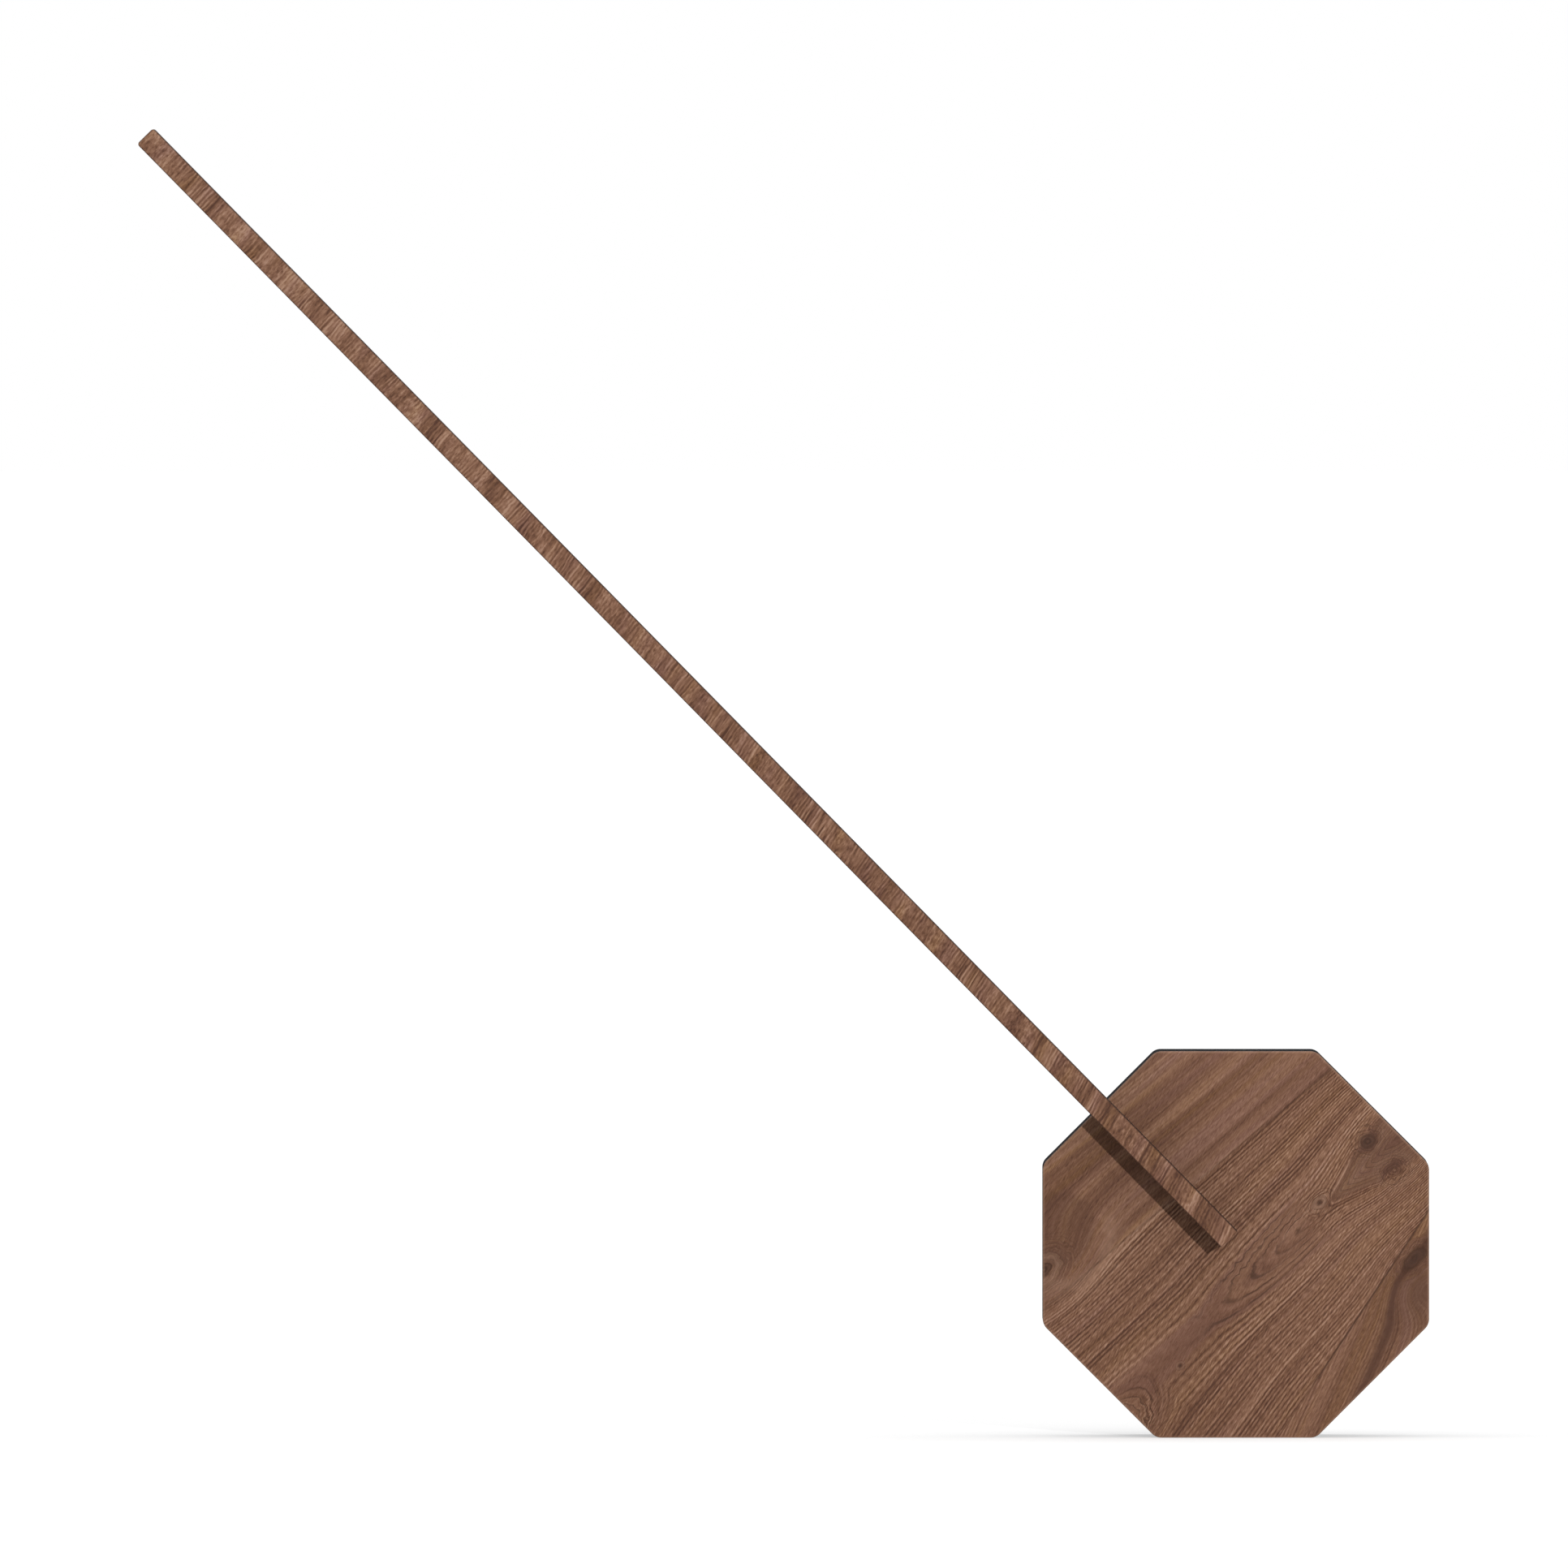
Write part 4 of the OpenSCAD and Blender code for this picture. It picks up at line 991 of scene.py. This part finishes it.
class DESKLAMP_OT_front_panel(Operator):
    """Make the octagonal walnut panel on the front of the base"""

    bl_idname = "desk_lamp.front_panel"
    bl_label = "Front panel"

    def execute(self, context):
        sizes = context.scene.desk_lamp_panel
        eighth = math.pi / 8
        facing = Matrix.Rotation(math.pi / 2, 4, "X")
        bm = bmesh.new()
        bmesh.ops.create_circle(
            bm, cap_ends=True, segments=8, radius=sizes.across / 2 / math.cos(eighth),
            matrix=Matrix.Translation(PANEL_CENTRE) @ facing @ Matrix.Rotation(eighth, 4, "Z"),
        )
        bmesh.ops.bevel(
            bm, geom=bm.verts[:], offset=sizes.corner * math.tan(eighth), offset_type="OFFSET",
            affect="VERTICES", segments=sizes.corner_steps, profile=0.5, material=-1,
        )
        bmesh.ops.delete(bm, geom=bm.faces[:], context="FACES_ONLY")
        bmesh.ops.create_circle(
            bm, cap_ends=False, segments=sizes.pivot_steps, radius=sizes.pivot_hole,
            matrix=Matrix.Translation(PANEL_PIVOT) @ facing,
        )
        bmesh.ops.bridge_loops(bm, edges=bm.edges[:])
        grown = bmesh.ops.extrude_face_region(bm, geom=bm.faces[:])["geom"]
        back = [part for part in grown if isinstance(part, bmesh.types.BMVert)]
        bmesh.ops.translate(bm, verts=back, vec=(0.0, sizes.thickness, 0.0))
        bmesh.ops.recalc_face_normals(bm, faces=bm.faces[:])
        front = PANEL_CENTRE[1] + sizes.thickness / 4
        near = Vector(PANEL_PIVOT)
        rim = [
            edge for edge in bm.edges
            if all(v.co.y < front and (v.co - near).length > 2 * sizes.pivot_hole for v in edge.verts)
            and edge.calc_face_angle(0.0) > SQUARE_ABOVE
        ]
        bevel_edges(bm, rim, sizes.arris, ARRIS_STEPS)
        made = panel_walnut(context.scene)
        finished_piece("walnut_panel", bm, made, "base", "walnut", "front_panel")
        return {"FINISHED"}


class DESKLAMP_OT_arm_strip(Operator):
    """Make the walnut strip along the front of the arm"""

    bl_idname = "desk_lamp.arm_strip"
    bl_label = "Arm strip"

    def execute(self, context):
        sizes = context.scene.desk_lamp_arm
        turned = Matrix.Translation(PIVOT) @ Matrix.Rotation(-sizes.heading, 4, "Y")
        level = turned.inverted()
        points = [level @ vertex.co for vertex in frame["nodes"]["arm_walnut_strip"].data.vertices]
        low = Vector(min(point[axis] for point in points) for axis in range(3))
        high = Vector(max(point[axis] for point in points) for axis in range(3))
        bm = bmesh.new()
        blank = Matrix.Translation((low + high) / 2) @ Matrix.Diagonal((*(high - low), 1.0))
        bmesh.ops.create_cube(bm, size=1.0, matrix=blank)
        middle = (low.x + high.x) / 2
        corners = [
            edge for edge in bm.edges
            if all(v.co.x > middle for v in edge.verts) and edge.verts[0].co.z == edge.verts[1].co.z
        ]
        bevel_edges(bm, corners, sizes.tip, ROUND_STEPS)
        front = (low.y + high.y) / 2
        rim = [
            edge for edge in bm.edges
            if edge.calc_face_angle(0.0) > SQUARE_ABOVE and all(v.co.y < front for v in edge.verts)
        ]
        bevel_edges(bm, rim, sizes.arris, ARRIS_STEPS)
        bmesh.ops.transform(bm, matrix=turned, verts=bm.verts[:])
        made = arm_walnut(context.scene)
        finished_piece("walnut_arm_strip", bm, made, "arm", "walnut", "arm_walnut_strip")
        return {"FINISHED"}


class DESKLAMP_OT_button(Operator):
    """Make the push button, with a hollow for a fingertip"""

    bl_idname = "desk_lamp.button"
    bl_label = "Push button"

    def execute(self, context):
        sizes = context.scene.desk_lamp_button
        outer = BUTTON_HIGH[1]
        inner = BUTTON_LOW[1]
        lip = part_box("back_cover")[0][1]
        centre = Vector(((BUTTON_LOW[0] + BUTTON_HIGH[0]) / 2, 0.0, (BUTTON_LOW[2] + BUTTON_HIGH[2]) / 2))
        flange_out = lip - sizes.gap
        flange_in = flange_out - sizes.flange_depth
        profile = (
            (0.0, outer - sizes.dish),
            (sizes.cap * 0.5, outer - sizes.dish * 0.75),
            (sizes.cap - sizes.rim, outer - sizes.dish * 0.1),
            (sizes.cap - sizes.rim * 0.75, outer),
            (sizes.cap - sizes.edge, outer),
            (sizes.cap, outer - sizes.edge),
            (sizes.cap, flange_out),
            (sizes.flange, flange_out),
            (sizes.flange, flange_in),
            (sizes.nub, flange_in),
            (sizes.nub, inner),
            (0.0, inner),
        )
        bm = bmesh.new()
        verts = [bm.verts.new(centre + Vector((radius, depth, 0.0))) for radius, depth in profile]
        edges = [bm.edges.new(pair) for pair in zip(verts, verts[1:])]
        bmesh.ops.spin(
            bm, geom=verts + edges, cent=centre, axis=(0.0, 1.0, 0.0), angle=math.tau, steps=sizes.steps,
            use_merge=True,
        )
        bmesh.ops.remove_doubles(bm, verts=bm.verts[:], dist=0.001 * MM)
        tint = context.scene.desk_lamp_finishes.moulding
        made = moulded("button_moulding", tint, rough=0.36, shine=0.35, grain=6.0, relief=0.01 * MM)
        finished_piece("dished_button", bm, made, "button", "black_moulding", "push_button")
        return {"FINISHED"}


class DESKLAMP_OT_base_body(Operator):
    """Finish the black moulded body of the base and what shows at its back"""

    bl_idname = "desk_lamp.base_body"
    bl_label = "Base body"

    def execute(self, context):
        colours = context.scene.desk_lamp_finishes
        shell = moulded("shell_moulding", colours.moulding, rough=0.82, shine=0.007)
        cover = moulded("cover_moulding", colours.moulding, rough=0.68, shine=0.14)
        screw = brushed("black_screw", colours.black_steel, rough=0.36, metallic=0.9)
        socket = brushed("socket_shell", colours.socket, rough=0.28, lines=4.0)
        tongue = even("socket_tongue", colours.tongue, rough=0.5, scale=1.2)
        clear = {"Transmission Weight": 0.35, "IOR": 1.49, "Coat Weight": 0.4}
        pipe = even("light_pipe", colours.light_pipe, rough=0.18, scale=0.8, spread=0.05, extra=clear)
        dress(shell, "shell", "battery_clamp")
        dress(cover, "back_cover")
        dress(screw, "cover_screws")
        dress(socket, "charging_socket")
        dress(tongue, "socket_tongue")
        dress(pipe, "indicator_light_pipe")
        soften(SHELL_EDGE, "shell", "back_cover")
        return {"FINISHED"}


class DESKLAMP_OT_arm_body(Operator):
    """Finish the arm's metal channel, its cap and cover, and the light strip"""

    bl_idname = "desk_lamp.arm_body"
    bl_label = "Arm body"

    def execute(self, context):
        colours = context.scene.desk_lamp_finishes
        turn = -context.scene.desk_lamp_arm.heading
        channel = brushed(
            "channel_anodising", colours.anodised, rough=0.65, lines=5.0, metallic=0.0, shine=0.008,
            turn=turn,
        )
        caps = moulded(
            "arm_moulding", colours.moulding, rough=0.7, shine=0.06, grain=5.0, relief=0.015 * MM
        )
        gloss = {"Coat Weight": 0.15}
        opal = even("opal_diffuser", colours.opal, rough=0.4, scale=0.5, spread=0.02, extra=gloss)
        board = circuit("light_board", colours.light_board, colours.light_track)
        lens = {"Coat Weight": 0.3}
        emitter = even("light_emitter", colours.emitter, rough=0.3, scale=1.5, spread=0.08, extra=lens)
        dress(channel, "arm_channel", "arm_foot")
        dress(caps, "arm_tip_cap", "channel_cover")
        dress(opal, "diffuser")
        dress(board, "led_board")
        dress(emitter, "led_emitters")
        soften(CHANNEL_EDGE, "arm_channel", "arm_tip_cap", "channel_cover", "diffuser")
        return {"FINISHED"}


class DESKLAMP_OT_inner_works(Operator):
    """Finish the pivot, the counterweights, the battery and the electronics"""

    bl_idname = "desk_lamp.inner_works"
    bl_label = "Inner works"

    def execute(self, context):
        colours = context.scene.desk_lamp_finishes
        steel = brushed("steel", colours.steel, rough=0.32)
        weight = brushed("counterweight_steel", colours.counterweight, rough=0.48, lines=1.2)
        bronze = brushed("bronze", colours.bronze, rough=0.36)
        nylon = even("nylon", colours.nylon, rough=0.5, spread=0.05)
        foam = even("foam", colours.foam, rough=0.95, scale=2.5, spread=0.5)
        foil = {"Metallic": 0.5}
        pouch = even("cell_pouch", colours.pouch, rough=0.36, scale=0.3, spread=0.06, extra=foil)
        board = circuit("circuit_board", colours.board, colours.track)
        component = even("component", colours.component, rough=0.55, scale=1.5)
        black_lead = even("black_lead", colours.black_lead, rough=0.6)
        red_lead = even("red_lead", colours.red_lead, rough=0.55, spread=0.12)
        dress(
            steel, "panel_screws", "bush_screws", "stop_pins", "counterweight_screws", "clamp_screws",
            "board_screws", "foot_screws", "pivot_shaft", "stop_washer", "disc_spring", "lock_nut",
        )
        dress(weight, "low_counterweight", "side_counterweight")
        dress(bronze, "pivot_bush", "panel_inserts")
        dress(nylon, "friction_washer", "switch_plunger")
        dress(foam, "battery_foam_pad")
        dress(pouch, "battery_pack")
        dress(board, "circuit_board", "battery_guard_board")
        dress(component, "board_components", "switch_body")
        dress(black_lead, "lamp_lead", "arm_lead")
        dress(red_lead, "battery_lead")
        return {"FINISHED"}


class DESKLAMP_PT_sidebar(Panel):
    """Lists the lamp's settings and pieces"""

    bl_label = "Desk Lamp"
    bl_idname = "DESKLAMP_PT_sidebar"
    bl_space_type = "VIEW_3D"
    bl_region_type = "UI"
    bl_category = "Desk Lamp"

    def draw(self, context):
        for name, group in GROUPS.items():
            box = self.layout.box()
            box.label(text=group.__doc__)
            settings = getattr(context.scene, name)
            for key in group.__annotations__:
                box.prop(settings, key)
        for operator in OPERATORS:
            self.layout.operator(operator.bl_idname)


GROUPS = {
    "desk_lamp_panel": DeskLampPanelSizes,
    "desk_lamp_arm": DeskLampArmSizes,
    "desk_lamp_button": DeskLampButtonSizes,
    "desk_lamp_finishes": DeskLampFinishes,
    "desk_lamp_stage": DeskLampStageSettings,
}
OPERATORS = (
    DESKLAMP_OT_stage,
    DESKLAMP_OT_front_panel,
    DESKLAMP_OT_arm_strip,
    DESKLAMP_OT_button,
    DESKLAMP_OT_base_body,
    DESKLAMP_OT_arm_body,
    DESKLAMP_OT_inner_works,
)
CLASSES = (*GROUPS.values(), *OPERATORS, DESKLAMP_PT_sidebar)


def register():
    for made in CLASSES:
        bpy.utils.register_class(made)
    for name, group in GROUPS.items():
        setattr(bpy.types.Scene, name, PointerProperty(type=group))


def unregister():
    for name in GROUPS:
        delattr(bpy.types.Scene, name)
    for made in reversed(CLASSES):
        bpy.utils.unregister_class(made)


def main():
    register()
    bpy.ops.desk_lamp.stage()
    bpy.ops.desk_lamp.front_panel()
    bpy.ops.desk_lamp.arm_strip()
    bpy.ops.desk_lamp.button()
    bpy.ops.desk_lamp.base_body()
    bpy.ops.desk_lamp.arm_body()
    bpy.ops.desk_lamp.inner_works()


if __name__ == "__main__":
    main()
